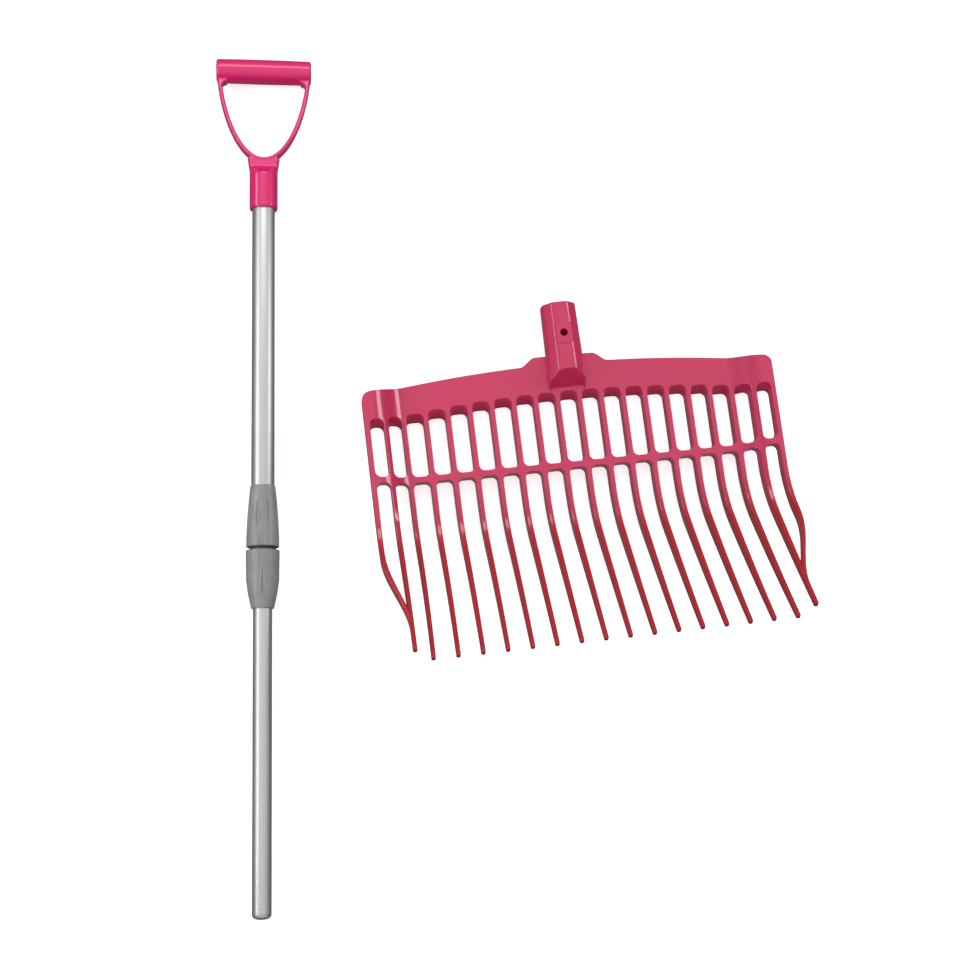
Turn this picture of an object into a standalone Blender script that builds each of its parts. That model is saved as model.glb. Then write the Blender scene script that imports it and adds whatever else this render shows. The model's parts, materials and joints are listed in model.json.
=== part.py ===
"""Manure fork, taken apart: a telescopic pole with a D-grip, and a basket head lying beside it.

Units are metres, +Z is up and the floor is at Z = 0. The head lies square to the axes, with its socket
at +Y and its tines curving up off the floor at -Y. The pole lies to its left, a few degrees askew, with
the grip at +Y. The assembly's origin is on the floor, under the middle of its own box.
"""
import math

import bmesh
import bpy
from mathutils import Matrix, Vector

# Clearances, and how far a cutter reaches past what it cuts
GAP = 0.0003
CUT_PAST = 0.0100
MERGED = 0.0001

# Tubes
UPPER_TUBE_RADIUS = 0.0125
UPPER_TUBE_WALL = 0.0012
UPPER_TUBE_LENGTH = 0.4057
LOWER_TUBE_RADIUS = 0.0102
LOWER_TUBE_WALL = 0.0012
LOWER_TUBE_SHOWN = 0.3178
LOWER_TUBE_HIDDEN = 0.110
BUSH_COLLAR_LENGTH = 0.0100
BUSH_SPIGOT_LENGTH = 0.0200
BUSH_BORE_RADIUS = 0.0050
PLUG_SPIGOT_LENGTH = 0.0150
PLUG_DOME_HEIGHT = 0.0052

# Collar: heights are measured along the pole from the sleeve's lower rim
SLEEVE_LENGTH = 0.0668
SLEEVE_TOP_RADIUS = 0.0134
SLEEVE_BOTTOM_RADIUS = 0.0177
SLEEVE_BULGE = 0.0009
COLLET_SEAT_DEPTH = 0.0120
COLLET_RADIUS = 0.0146
COLLET_THREAD_LENGTH = 0.0260
JAW_LENGTH = 0.0170
JAW_ROOT_RADIUS = 0.0140
JAW_TIP_RADIUS = 0.0124
JAW_SLOT_WIDTH = 0.0016
JAW_SLOT_CORNER = 0.0004
JAW_SLOT_PAST_ROOT = 0.0030
COLLAR_SPLIT = 0.0037
NUT_LENGTH = 0.0625
NUT_TOP_RADIUS = 0.0181
NUT_WAIST_RADIUS = 0.01765
NUT_WAIST_BELOW_TOP = 0.0318
NUT_END_RADIUS = 0.0121
NUT_BULGE = 0.0006
RING_LENGTH = 0.0070
RING_WALL_GAP = 0.0004
RIM_CHAMFER = 0.0007
FLUTE_COUNT = 8
FLUTE_HALF_WIDTH = 0.0016
FLUTE_OUTSIDE = 0.0006
FLUTE_SHAPE = (0.15, 0.6, 1.0, 0.75, 0.15)
SLEEVE_FLUTES = (0.32, 0.76)
NUT_FLUTES = (0.27, 0.84)

# D-grip
GRIP_SOCKET_LENGTH = 0.0383
GRIP_SOCKET_RADIUS = 0.0156
GRIP_SOCKET_EDGE = 0.0009
GRIP_NECK_LENGTH = 0.0221
GRIP_OPENING_HEIGHT = 0.0896
BAR_LENGTH = 0.1062
BAR_THICKNESS = 0.0268
BAR_DEPTH = 0.0310
BAR_SHAPE = ((1, 0.84), (0.985, 0.92), (0.955, 0.955), (0.8, 0.965), (0.4, 0.99), (0, 1))
ARM_THICKNESS = 0.0048
ARM_DEPTH = 0.0150
ARM_RIDGE = 0.0014
ARM_INSET = 0.0004
ARM_BULGE_HALF_WIDTH = 0.0491
ARM_BULGE_HEIGHT = 0.0612
ARM_ROUND_HALF_WIDTH = 0.0297
NECK_SHOULDER = 0.0014
NECK_RAMP_LENGTH = 0.0095
NECK_WEB_DEPTH = 0.0140
NECK_TOP_WIDTH = 0.0360
NECK_WIDENS = 0.3
CORNER_FILLET = 0.0055
CORNER_DEPTH = 0.0120
CORNER_OVERLAP = 0.0020
CORNER_BELOW_BAR_MIDDLE = 0.0121
RIVET_SHANK_RADIUS = 0.0017
RIVET_HEAD_RADIUS = 0.0033
RIVET_HEAD_HEIGHT = 0.0012
RIVET_HEAD_EDGE = 0.0004
RIVET_SUNK = 0.0002
RIVET_IN_BORE = 0.0010
RIVET_ABOVE_RIM = 0.0143

# Head
TINE_COUNT = 20
BAR_PITCH = 0.02494
WING_PITCH = 0.0210
WING_BARS = 2
BAR_WIDTH = 0.0055
HEAD_DEPTH = 0.0160
RAIL_HEIGHT = 0.0068
BARS_BELOW_RAIL = 0.0232
SLOT_LENGTH = 0.0806
SLOT_CORNER = 0.0060
OUTER_SLOT_CORNER = 0.0110
SLOT_TOP_SLOPE = 0.0075
PLATE_HEIGHT = 0.0320
PLATE_SKIN = 0.0040
PLATE_FLANGE = 0.0040
PLATE_CORNER = 0.0080
CROWN_RADIUS = 1.506
HUMP_RISE = 0.0095
HUMP_TOP_WIDTH = 0.0660
HUMP_FLANK = 0.0170
WING_RISE = 0.0230
WING_RAMP_WIDTH = 0.0400
WING_RIM_WIDTH = 0.0092
CELL_WIDTH = 0.0480
TINE_LENGTH = 0.1998
OUTER_TINE_LENGTH = 0.1878
TINE_BEND_START = 0.0027
TINE_BEND_LENGTH = 0.0495
TINE_ANGLE = math.radians(33.5)
TINE_TIP_DEPTH = 0.0064
TINE_TIP_WIDTH = 0.0048
TINE_CHAMFER = 0.0008
TINE_ROOT = 0.0100
TINE_SEAM = 0.0001
TIP_PITCH = 0.0259
SPLAY_AT_ROOT = 0.28
WING_TINE_LEAN = 0.0030
OUTER_TINE_TURN = 0.0580
OUTER_TINE_JOIN = 0.1630
OUTER_TINE_THINNER = 0.0006
HEAD_SOCKET_WIDTH = 0.0385
HEAD_SOCKET_LENGTH = 0.0966
HEAD_SOCKET_ABOVE_SLOTS = 0.0008
HEAD_SOCKET_EDGE = 0.0036
HEAD_SOCKET_RIM = 0.0012
HEAD_SOCKET_RIM_SHARE = 0.95
HEAD_SOCKET_FOOT_SHARE = 1.07
HEAD_SOCKET_OFF_FLOOR = 0.0004
HEAD_SOCKET_END_SLOPE = 0.0195
HEAD_BORE_DEPTH = 0.0750
SCREW_HOLE_RADIUS = 0.0041
SCREW_HOLE_BELOW_TOP = 0.0360
SCREW_PAD = (0.0180, 0.0242, 0.0009)
SCREW_PAD_CORNER = 0.0018
SCREW_PAD_SUNK = 0.0060
CORE_INNER_RADIUS = 0.0133
CORE_OUTER_RADIUS = 0.0163
CORE_DEPTH = 0.0270
CORE_COUNT = 6
CORE_SHARE = 0.80

# Where the head lies: its rail's upper edge, from the sleeve's lower rim
HEAD_TO_RIGHT = 0.3463
HEAD_TO_FRONT = 0.0961
HEAD_YAW = math.radians(5.90)

# How finely curves are drawn
STEPS = 40
HOLE_STEPS = 24
DOME_STEPS = 6
BAR_STEPS = 28
NECK_STEPS = 32
ARM_STEPS = 28
SLOPE_STEP = 0.01
SECTION_STEP = 0.0250
SECTIONS_APART = 0.0002
BEND_STEPS = 4
STRAIGHT_STEPS = 5

for old in list(bpy.data.objects):
    bpy.data.objects.remove(old, do_unlink=True)

parts = bpy.data.collections.new("manure_fork")
cutters = bpy.data.collections.new("cutters")
bpy.context.scene.collection.children.link(parts)
bpy.context.scene.collection.children.link(cutters)


def material(name, colour, roughness, metallic=0.0):
    made = bpy.data.materials.new(name)
    made.use_nodes = True
    shader = made.node_tree.nodes["Principled BSDF"]
    shader.inputs["Base Color"].default_value = (*colour, 1.0)
    shader.inputs["Roughness"].default_value = roughness
    shader.inputs["Metallic"].default_value = metallic
    return made


def place(name, mesh, parent=None, surface=None):
    """A part that shows, hung on its parent."""
    piece = bpy.data.objects.new(name, mesh)
    parts.objects.link(piece)
    piece.parent = parent
    if surface:
        mesh.materials.append(surface)
    return piece


def guide(name, mesh, parent=None):
    """A cutter: it never shows."""
    piece = bpy.data.objects.new(name, mesh)
    cutters.objects.link(piece)
    piece.parent = parent
    piece.hide_render = True
    piece.display_type = "WIRE"
    return piece


def combine(piece, other, operation="DIFFERENCE", own_overlaps=False):
    change = piece.modifiers.new(other.name, "BOOLEAN")
    change.operation = operation
    change.object = other
    change.solver = "EXACT"
    change.use_self = own_overlaps


def loft_into(mesh, rings):
    """Adds one closed body: the rings' skin, and a face on each end."""
    rows = [[mesh.verts.new(point) for point in ring] for ring in rings]
    made = []
    count = len(rows[0])
    for low, high in zip(rows, rows[1:]):
        for i in range(count):
            j = (i + 1) % count
            made.append(mesh.faces.new((low[i], low[j], high[j], high[i])))
    made.append(mesh.faces.new(rows[0][::-1]))
    made.append(mesh.faces.new(rows[-1]))
    bmesh.ops.recalc_face_normals(mesh, faces=made)


def lofts(name, bodies):
    """A mesh of closed bodies, each given as its rings of points."""
    built = bmesh.new()
    for rings in bodies:
        loft_into(built, rings)
    mesh = bpy.data.meshes.new(name)
    built.to_mesh(mesh)
    built.free()
    return mesh


def smooth(mesh, degrees=35):
    mesh.shade_smooth()
    mesh.set_sharp_from_angle(angle=math.radians(degrees))


def profile_mesh(name, points, closed):
    mesh = bpy.data.meshes.new(name)
    edges = [(i, i + 1) for i in range(len(points) - 1)]
    if closed:
        edges.append((len(points) - 1, 0))
    mesh.from_pydata([(radius, 0, height) for radius, height in points], edges, [])
    return mesh


def turn(piece, steps=STEPS):
    screw = piece.modifiers.new("turned", "SCREW")
    screw.steps = steps
    screw.render_steps = steps
    screw.use_merge_vertices = True
    screw.merge_threshold = MERGED
    screw.use_smooth_shade = True
    return piece


def turned(name, points, parent, surface, closed=True):
    return turn(place(name, profile_mesh(name, points, closed), parent, surface))


def round_cutter(name, radius, low, high, parent, across=None, steps=STEPS):
    """A cylinder from low to high along the parent's Z, or along the direction across."""
    built = bmesh.new()
    bmesh.ops.create_cone(
        built, cap_ends=True, segments=steps, radius1=radius, radius2=radius, depth=high - low
    )
    bmesh.ops.translate(built, verts=built.verts, vec=(0, 0, (low + high) / 2))
    if across:
        turned_to = Vector((0, 0, 1)).rotation_difference(Vector(across)).to_matrix()
        bmesh.ops.rotate(built, verts=built.verts, matrix=turned_to)
    mesh = bpy.data.meshes.new(name)
    built.to_mesh(mesh)
    built.free()
    return guide(name, mesh, parent)


def between(low, high, share):
    return low + (high - low) * share


def ease(share):
    share = min(max(share, 0.0), 1.0)
    return share * share * (3 - 2 * share)


def rounded_box(x_low, x_high, y_low, y_high, height, corners, turns=3):
    """A ring at one height. corners are the radii at high right, high left, low left and low right."""
    limit = min(x_high - x_low, y_high - y_low) / 2 - MERGED
    places = ((x_high, y_high, 0), (x_low, y_high, 90), (x_low, y_low, 180), (x_high, y_low, 270))
    ring = []
    for (x, y, start), radius in zip(places, corners):
        radius = min(radius, limit)
        middle_x = x - math.copysign(radius, x - (x_low + x_high) / 2)
        middle_y = y - math.copysign(radius, y - (y_low + y_high) / 2)
        for step in range(turns + 1):
            angle = math.radians(start + 90 * step / turns)
            ring.append((middle_x + radius * math.cos(angle), middle_y + radius * math.sin(angle), height))
    return ring


aluminium = material("satin_aluminium", (0.63, 0.65, 0.66), 0.38, 1.0)
grey_plastic = material("grey_plastic", (0.30, 0.30, 0.30), 0.5)
dark_plastic = material("dark_plastic", (0.06, 0.06, 0.065), 0.5)
pink_plastic = material("pink_plastic", (0.60, 0.02, 0.12), 0.32)
red_plastic = material("red_plastic", (0.50, 0.03, 0.07), 0.3)
white_plastic = material("white_plastic", (0.75, 0.75, 0.73), 0.45)
steel = material("steel", (0.55, 0.55, 0.56), 0.35, 1.0)

# The floor plan. The pole's local Z runs to the grip, and its local +Y faces the floor.
nut_top = -COLLAR_SPLIT
nut_bottom = nut_top - NUT_LENGTH
tube_top = COLLET_SEAT_DEPTH + GAP + UPPER_TUBE_LENGTH
grip_rim = tube_top + GAP - GRIP_SOCKET_LENGTH
bar_middle = tube_top + GAP + GRIP_NECK_LENGTH + GRIP_OPENING_HEIGHT + BAR_THICKNESS / 2
rest_on_nut = nut_top - RIM_CHAMFER
pole_tilt = math.atan2(NUT_TOP_RADIUS - BAR_DEPTH / 2, bar_middle - rest_on_nut)
axis_height = NUT_TOP_RADIUS + rest_on_nut * math.tan(pole_tilt)

assembly = bpy.data.objects.new("assembly", None)
pole = bpy.data.objects.new("pole", None)
head = bpy.data.objects.new("head", None)
for frame in (assembly, pole, head):
    parts.objects.link(frame)
pole.parent = assembly
head.parent = assembly
pole.location = (0, 0, axis_height)
pole.rotation_euler = (-math.pi / 2 - pole_tilt, 0, 0)
head.location = (HEAD_TO_RIGHT, HEAD_TO_FRONT, 0)
head.rotation_euler = (0, 0, HEAD_YAW)
assembly.rotation_euler = (0, 0, -HEAD_YAW)


def tube_profile(radius, wall, low, high):
    """A tube's closed section, down its outside and up its bore."""
    return [(radius, high), (radius, low), (radius - wall, low), (radius - wall, high)]


# Upper tube: its lower end stands on the collet, its top is in the grip's socket
upper_bore = UPPER_TUBE_RADIUS - UPPER_TUBE_WALL
upper_tube = turned(
    "upper_tube",
    tube_profile(UPPER_TUBE_RADIUS, UPPER_TUBE_WALL, COLLET_SEAT_DEPTH + GAP, tube_top),
    pole,
    aluminium,
)

# Lower tube, with a guide bush in its hidden end and a domed plug in its other end
lower_bore = LOWER_TUBE_RADIUS - LOWER_TUBE_WALL
lower_end = nut_bottom - LOWER_TUBE_SHOWN
turned(
    "lower_tube",
    tube_profile(LOWER_TUBE_RADIUS, LOWER_TUBE_WALL, lower_end, LOWER_TUBE_HIDDEN),
    pole,
    aluminium,
)
bush_seat = LOWER_TUBE_HIDDEN + GAP
bush_radius = upper_bore - GAP
spigot_radius = lower_bore - GAP
turned(
    "guide_bush",
    [
        (bush_radius, bush_seat + BUSH_COLLAR_LENGTH),
        (bush_radius, bush_seat),
        (spigot_radius, bush_seat),
        (spigot_radius, bush_seat - BUSH_SPIGOT_LENGTH),
        (BUSH_BORE_RADIUS, bush_seat - BUSH_SPIGOT_LENGTH),
        (BUSH_BORE_RADIUS, bush_seat + BUSH_COLLAR_LENGTH),
    ],
    pole,
    white_plastic,
)
dome = [
    (LOWER_TUBE_RADIUS * math.cos(angle), lower_end - GAP - PLUG_DOME_HEIGHT * math.sin(angle))
    for angle in (math.pi / 2 * step / DOME_STEPS for step in range(DOME_STEPS))
]
turned(
    "end_plug",
    [(0, lower_end + PLUG_SPIGOT_LENGTH), (spigot_radius, lower_end + PLUG_SPIGOT_LENGTH)]
    + [(spigot_radius, lower_end - GAP)]
    + dome
    + [(0, lower_end - GAP - PLUG_DOME_HEIGHT)],
    pole,
    aluminium,
    closed=False,
)


def flutes(name, heights, radius_at, turned_by, parent):
    """Spindle-shaped cutters laid along a collar half, evenly round it."""
    bodies = []
    for index in range(FLUTE_COUNT):
        angle = math.radians(360 * index / FLUTE_COUNT + turned_by)
        rings = []
        for step, share in enumerate(FLUTE_SHAPE):
            height = between(heights[0], heights[1], step / (len(FLUTE_SHAPE) - 1))
            size = FLUTE_HALF_WIDTH * share
            middle = radius_at(height) + FLUTE_OUTSIDE
            ring = []
            for corner in range(6):
                spin = math.radians(60 * corner)
                out = middle + size * math.cos(spin)
                side = size * math.sin(spin)
                ring.append(
                    (
                        out * math.cos(angle) - side * math.sin(angle),
                        out * math.sin(angle) + side * math.cos(angle),
                        height,
                    )
                )
            rings.append(ring)
        bodies.append(rings)
    return guide(name, lofts(name, bodies), parent)


# Upper sleeve: stays on the upper tube, over the collet's top
def sleeve_radius(height):
    share = height / SLEEVE_LENGTH
    bulge = SLEEVE_BULGE * math.sin(math.pi * share)
    return between(SLEEVE_BOTTOM_RADIUS, SLEEVE_TOP_RADIUS, share) + bulge


sleeve_heights = [SLEEVE_LENGTH * share for share in (0.95, 0.8, 0.6, 0.4, 0.2, 0.04)]
upper_sleeve = turned(
    "upper_sleeve",
    [(SLEEVE_TOP_RADIUS - RIM_CHAMFER / 2, SLEEVE_LENGTH)]
    + [(sleeve_radius(height), height) for height in sleeve_heights]
    + [(SLEEVE_BOTTOM_RADIUS - RIM_CHAMFER, 0)]
    + [(COLLET_RADIUS + GAP, 0), (COLLET_RADIUS + GAP, COLLET_SEAT_DEPTH)]
    + [(UPPER_TUBE_RADIUS + GAP, COLLET_SEAT_DEPTH), (UPPER_TUBE_RADIUS + GAP, SLEEVE_LENGTH)],
    pole,
    grey_plastic,
)
sleeve_flutes = flutes(
    "sleeve_flutes", [SLEEVE_LENGTH * share for share in SLEEVE_FLUTES], sleeve_radius, 22.5, pole
)
combine(upper_sleeve, sleeve_flutes)

# Collet: a threaded bush in the sleeve, whose slotted jaws grip the lower tube
jaw_root = -COLLET_THREAD_LENGTH
jaw_tip = jaw_root - JAW_LENGTH


def jaw_radius(height):
    return between(JAW_ROOT_RADIUS, JAW_TIP_RADIUS, (jaw_root - height) / JAW_LENGTH)


collet_bore = LOWER_TUBE_RADIUS + GAP
collet = turned(
    "collet",
    [
        (COLLET_RADIUS, COLLET_SEAT_DEPTH - GAP),
        (COLLET_RADIUS, jaw_root),
        (JAW_ROOT_RADIUS, jaw_root),
        (JAW_TIP_RADIUS, jaw_tip),
        (collet_bore, jaw_tip),
        (collet_bore, COLLET_SEAT_DEPTH - GAP),
    ],
    pole,
    dark_plastic,
)
slot_reach = COLLET_RADIUS + CUT_PAST
slot_half = JAW_SLOT_WIDTH / 2
for turned_by in (0, 90):
    slot = guide("jaw_slot", lofts("jaw_slot", [[
        rounded_box(-slot_reach, slot_reach, -slot_half, slot_half, height, (JAW_SLOT_CORNER,) * 4, 1)
        for height in (jaw_tip - CUT_PAST, jaw_root + JAW_SLOT_PAST_ROOT)
    ]]), pole)
    slot.rotation_euler = (0, 0, math.radians(45 + turned_by))
    combine(collet, slot)

# Clamp ring: its tapered bore rides over the jaws
ring_low = jaw_tip - GAP * 2
ring_high = ring_low + RING_LENGTH
nut_bore = COLLET_RADIUS + GAP
ring_radius = nut_bore - RING_WALL_GAP
turned(
    "clamp_ring",
    [
        (ring_radius, ring_high),
        (ring_radius, ring_low),
        (jaw_radius(jaw_tip) + GAP, ring_low),
        (jaw_radius(ring_high) + GAP, ring_high),
    ],
    pole,
    white_plastic,
)


# Lock nut: turns on the collet's thread and pushes the clamp ring
def nut_radius(height):
    below = nut_top - height
    if below < NUT_WAIST_BELOW_TOP:
        return between(NUT_TOP_RADIUS, NUT_WAIST_RADIUS, below / NUT_WAIST_BELOW_TOP)
    share = (below - NUT_WAIST_BELOW_TOP) / (NUT_LENGTH - NUT_WAIST_BELOW_TOP)
    return between(NUT_WAIST_RADIUS, NUT_END_RADIUS, share) + NUT_BULGE * math.sin(math.pi * share)


nut_heights = [nut_top - NUT_LENGTH * share for share in (0.25, 0.5, 0.6, 0.7, 0.8, 0.9, 0.985)]
lock_nut = turned(
    "lock_nut",
    [(NUT_TOP_RADIUS - RIM_CHAMFER, nut_top), (NUT_TOP_RADIUS, rest_on_nut)]
    + [(nut_radius(height), height) for height in nut_heights]
    + [(NUT_END_RADIUS - RIM_CHAMFER / 2, nut_bottom)]
    + [(LOWER_TUBE_RADIUS + GAP, nut_bottom), (LOWER_TUBE_RADIUS + GAP, ring_low - GAP)]
    + [(nut_bore, ring_low - GAP), (nut_bore, nut_top)],
    pole,
    grey_plastic,
)
nut_flutes = flutes(
    "nut_flutes", [nut_top - NUT_LENGTH * share for share in NUT_FLUTES], nut_radius, 0, pole
)
combine(lock_nut, nut_flutes)

# D-grip: hand bar, two arms, neck and socket, in one moulding
bar_rings = [(along * BAR_LENGTH / 2, size) for along, size in BAR_SHAPE]
bar_rings = [(-x, size) for x, size in bar_rings[:-1]] + bar_rings[::-1]
grip = place(
    "grip",
    lofts("grip", [[
        [
            (
                x,
                size * BAR_DEPTH / 2 * math.sin(math.tau * step / BAR_STEPS),
                bar_middle + size * BAR_THICKNESS / 2 * math.cos(math.tau * step / BAR_STEPS),
            )
            for step in range(BAR_STEPS)
        ]
        for x, size in bar_rings
    ]]),
    pole,
    pink_plastic,
)

neck_low = tube_top + GAP
opening_low = neck_low + GRIP_NECK_LENGTH
arm_middle = opening_low - ARM_THICKNESS / 2
arm_top = Vector((BAR_LENGTH / 2 - ARM_THICKNESS / 2 - ARM_INSET, bar_middle))
arm_bulge = Vector((ARM_BULGE_HALF_WIDTH, opening_low + ARM_BULGE_HEIGHT))
arm_round = Vector((ARM_ROUND_HALF_WIDTH, arm_middle))
arm_foot = Vector((0, arm_middle))


def arm_point(share):
    left = 1 - share
    return (
        left**3 * arm_top
        + 3 * left**2 * share * arm_bulge
        + 3 * left * share**2 * arm_round
        + share**3 * arm_foot
    )


# The two arms are one bow, from one end of the bar round under the opening to the other
half_bow = []
for step in range(ARM_STEPS + 1):
    share = step / ARM_STEPS
    here = arm_point(share)
    ahead = arm_point(share + SLOPE_STEP) - arm_point(share - SLOPE_STEP)
    outwards = Vector((-ahead.y, ahead.x)).normalized()
    half_bow.append((here, outwards))
arm_rings = []
for side in (-1, 1):
    for here, outwards in half_bow[:: -side]:
        if side == 1 and here is half_bow[-1][0]:
            continue
        half = ARM_THICKNESS / 2
        edge = ARM_DEPTH / 2 - ARM_RIDGE
        section = (
            (0, -ARM_DEPTH / 2), (half, -edge), (half, edge),
            (0, ARM_DEPTH / 2), (-half, edge), (-half, -edge),
        )
        arm_rings.append([
            (side * (here.x + outwards.x * out), depth, here.y + outwards.y * out)
            for out, depth in section
        ])
grip_arms = guide("grip_arms", lofts("grip_arms", [arm_rings]), pole)

web_share = NECK_WEB_DEPTH / 2 / GRIP_SOCKET_RADIUS
ramp_low = neck_low + NECK_SHOULDER
neck_rings = []
for height, half_width, clip in (
    (grip_rim, GRIP_SOCKET_RADIUS - GRIP_SOCKET_EDGE, 1.0),
    (grip_rim + GRIP_SOCKET_EDGE, GRIP_SOCKET_RADIUS, 1.0),
    (ramp_low, GRIP_SOCKET_RADIUS, 1.0),
    (ramp_low + NECK_RAMP_LENGTH / 2, GRIP_SOCKET_RADIUS, (1.0 + web_share) / 2),
    (ramp_low + NECK_RAMP_LENGTH, between(GRIP_SOCKET_RADIUS, NECK_TOP_WIDTH / 2, NECK_WIDENS), web_share),
    (opening_low - ARM_RIDGE / 2, NECK_TOP_WIDTH / 2, web_share),
):
    ring = []
    for step in range(NECK_STEPS):
        angle = math.tau * (step + 0.5) / NECK_STEPS
        depth = GRIP_SOCKET_RADIUS * math.sin(angle)
        if height < neck_low:
            depth = half_width * math.sin(angle)
        limit = clip * GRIP_SOCKET_RADIUS
        ring.append((half_width * math.cos(angle), max(-limit, min(limit, depth)), height))
    neck_rings.append(ring)
grip_neck = guide("grip_neck", lofts("grip_neck", [neck_rings]), pole)
combine(grip, grip_arms, "UNION")
combine(grip, grip_neck, "UNION")
grip_bore = round_cutter("grip_bore", UPPER_TUBE_RADIUS + GAP, grip_rim - CUT_PAST, neck_low, pole)
combine(grip, grip_bore)

# Corner fillets where the arms meet the hand bar
corner_bodies = []
arm_inside = BAR_LENGTH / 2 - ARM_THICKNESS - ARM_INSET - CORNER_OVERLAP / 2
bar_side = bar_middle - CORNER_BELOW_BAR_MIDDLE
for side in (-1, 1):
    rings = []
    for depth in (-CORNER_DEPTH / 2, CORNER_DEPTH / 2):
        foot = bar_side - CORNER_FILLET - CORNER_OVERLAP
        ring = [
            (side * (arm_inside + CORNER_OVERLAP), depth, bar_side + CORNER_OVERLAP),
            (side * (arm_inside + CORNER_OVERLAP), depth, foot),
        ]
        for step in range(5):
            angle = math.radians(90 * step / 4)
            ring.append((
                side * (arm_inside - CORNER_FILLET + CORNER_FILLET * math.cos(angle)),
                depth,
                foot + CORNER_FILLET * math.sin(angle),
            ))
        ring.append((side * (arm_inside - CORNER_FILLET), depth, bar_side + CORNER_OVERLAP))
        rings.append(ring)
    corner_bodies.append(rings)
grip_corners = guide("grip_corners", lofts("grip_corners", corner_bodies), pole)
combine(grip, grip_corners, "UNION")

# Rivet: sunk in the back of the grip's socket, through the tube's wall
rivet_height = grip_rim + RIVET_ABOVE_RIM
rivet_out = GRIP_SOCKET_RADIUS - RIVET_SUNK
head_seat = rivet_out - RIVET_HEAD_HEIGHT
shank_end = upper_bore - RIVET_IN_BORE
rivet_frame = bpy.data.objects.new("rivet_axis", None)
parts.objects.link(rivet_frame)
rivet_frame.parent = pole
rivet_frame.location = (0, 0, rivet_height)
rivet_frame.rotation_euler = (-math.pi / 2, 0, 0)
turned(
    "grip_rivet",
    [
        (0, rivet_out),
        (RIVET_HEAD_RADIUS - 2 * RIVET_HEAD_EDGE, rivet_out),
        (RIVET_HEAD_RADIUS, rivet_out - RIVET_HEAD_EDGE),
        (RIVET_HEAD_RADIUS, head_seat),
        (RIVET_SHANK_RADIUS, head_seat),
        (RIVET_SHANK_RADIUS, shank_end),
        (0, shank_end),
    ],
    rivet_frame,
    steel,
    closed=False,
)
past_socket = GRIP_SOCKET_RADIUS + CUT_PAST
rivet_hole = round_cutter(
    "rivet_hole", RIVET_SHANK_RADIUS + GAP, shank_end - GAP, past_socket, rivet_frame, steps=HOLE_STEPS
)
head_hole = round_cutter(
    "rivet_head_hole", RIVET_HEAD_RADIUS + GAP, head_seat - GAP, past_socket, rivet_frame, steps=HOLE_STEPS
)
combine(upper_tube, rivet_hole)
combine(grip, rivet_hole)
combine(grip, head_hole)

# The head's own frame: X across it, Y towards its socket from the rail's upper edge, Z off the floor
middle_bars = TINE_COUNT - 2 * WING_BARS


def bar_across(index):
    """Where a bar lies across the head: even in the middle, closer on the wings."""
    count = index - (TINE_COUNT - 1) / 2
    inside = min(abs(count), (middle_bars - 1) / 2)
    return math.copysign(inside * BAR_PITCH + (abs(count) - inside) * WING_PITCH, count)


half_width = bar_across(TINE_COUNT - 1) + BAR_WIDTH / 2
ramp_end = half_width - WING_RIM_WIDTH
ramp_start = ramp_end - WING_RAMP_WIDTH


def wing_lift(x):
    return WING_RISE * ease((abs(x) - ramp_start) / WING_RAMP_WIDTH)


def crown(x):
    """How far the curved top edges fall at this distance from the middle."""
    return CROWN_RADIUS - math.sqrt(CROWN_RADIUS**2 - x * x)


def slot_top(x):
    return SLOT_LENGTH - crown(x)


def plate_top(x):
    hump = HUMP_RISE * (1 - ease((abs(x) - HUMP_TOP_WIDTH / 2) / HUMP_FLANK))
    into_corner = max(0.0, abs(x) - (half_width - PLATE_CORNER))
    corner = PLATE_CORNER - math.sqrt(max(0.0, PLATE_CORNER**2 - into_corner**2))
    return slot_top(x) + PLATE_HEIGHT + hump - corner


def stations(low, high):
    """Places across the head where its section is drawn, close together where it bends."""
    marks = {low, high}
    for index in range(WING_BARS):
        edges = (bar_across(index) - BAR_WIDTH / 2, bar_across(index) + BAR_WIDTH / 2)
        marks |= {side * edge for side in (-1, 1) for edge in edges}
    for side in (-1, 1):
        marks |= {side * (HUMP_TOP_WIDTH / 2 + HUMP_FLANK * i / 4) for i in range(5)}
        marks |= {side * (ramp_start + WING_RAMP_WIDTH * i / 8) for i in range(9)}
        rounding = [1 - math.sin(math.pi / 2 * i / 5) for i in range(5)]
        marks |= {side * (half_width - PLATE_CORNER * share) for share in rounding}
    count = int(half_width / SECTION_STEP)
    marks |= {i * SECTION_STEP for i in range(-count, count + 1)}
    inside = sorted(x for x in marks if low <= x <= high)
    return [x for i, x in enumerate(inside) if i == 0 or x - inside[i - 1] > SECTIONS_APART]


def slab(x, y_low, y_high, z_low, z_high):
    return [(x, y_low, z_low), (x, y_high, z_low), (x, y_high, z_high), (x, y_low, z_high)]


bars_end = -RAIL_HEIGHT - BARS_BELOW_RAIL
fork_head = place(
    "fork_head",
    lofts("fork_head", [[
        slab(x, bars_end, plate_top(x), wing_lift(x), HEAD_DEPTH + wing_lift(x))
        for x in stations(-half_width, half_width)
    ]]),
    head,
    red_plastic,
)

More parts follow.
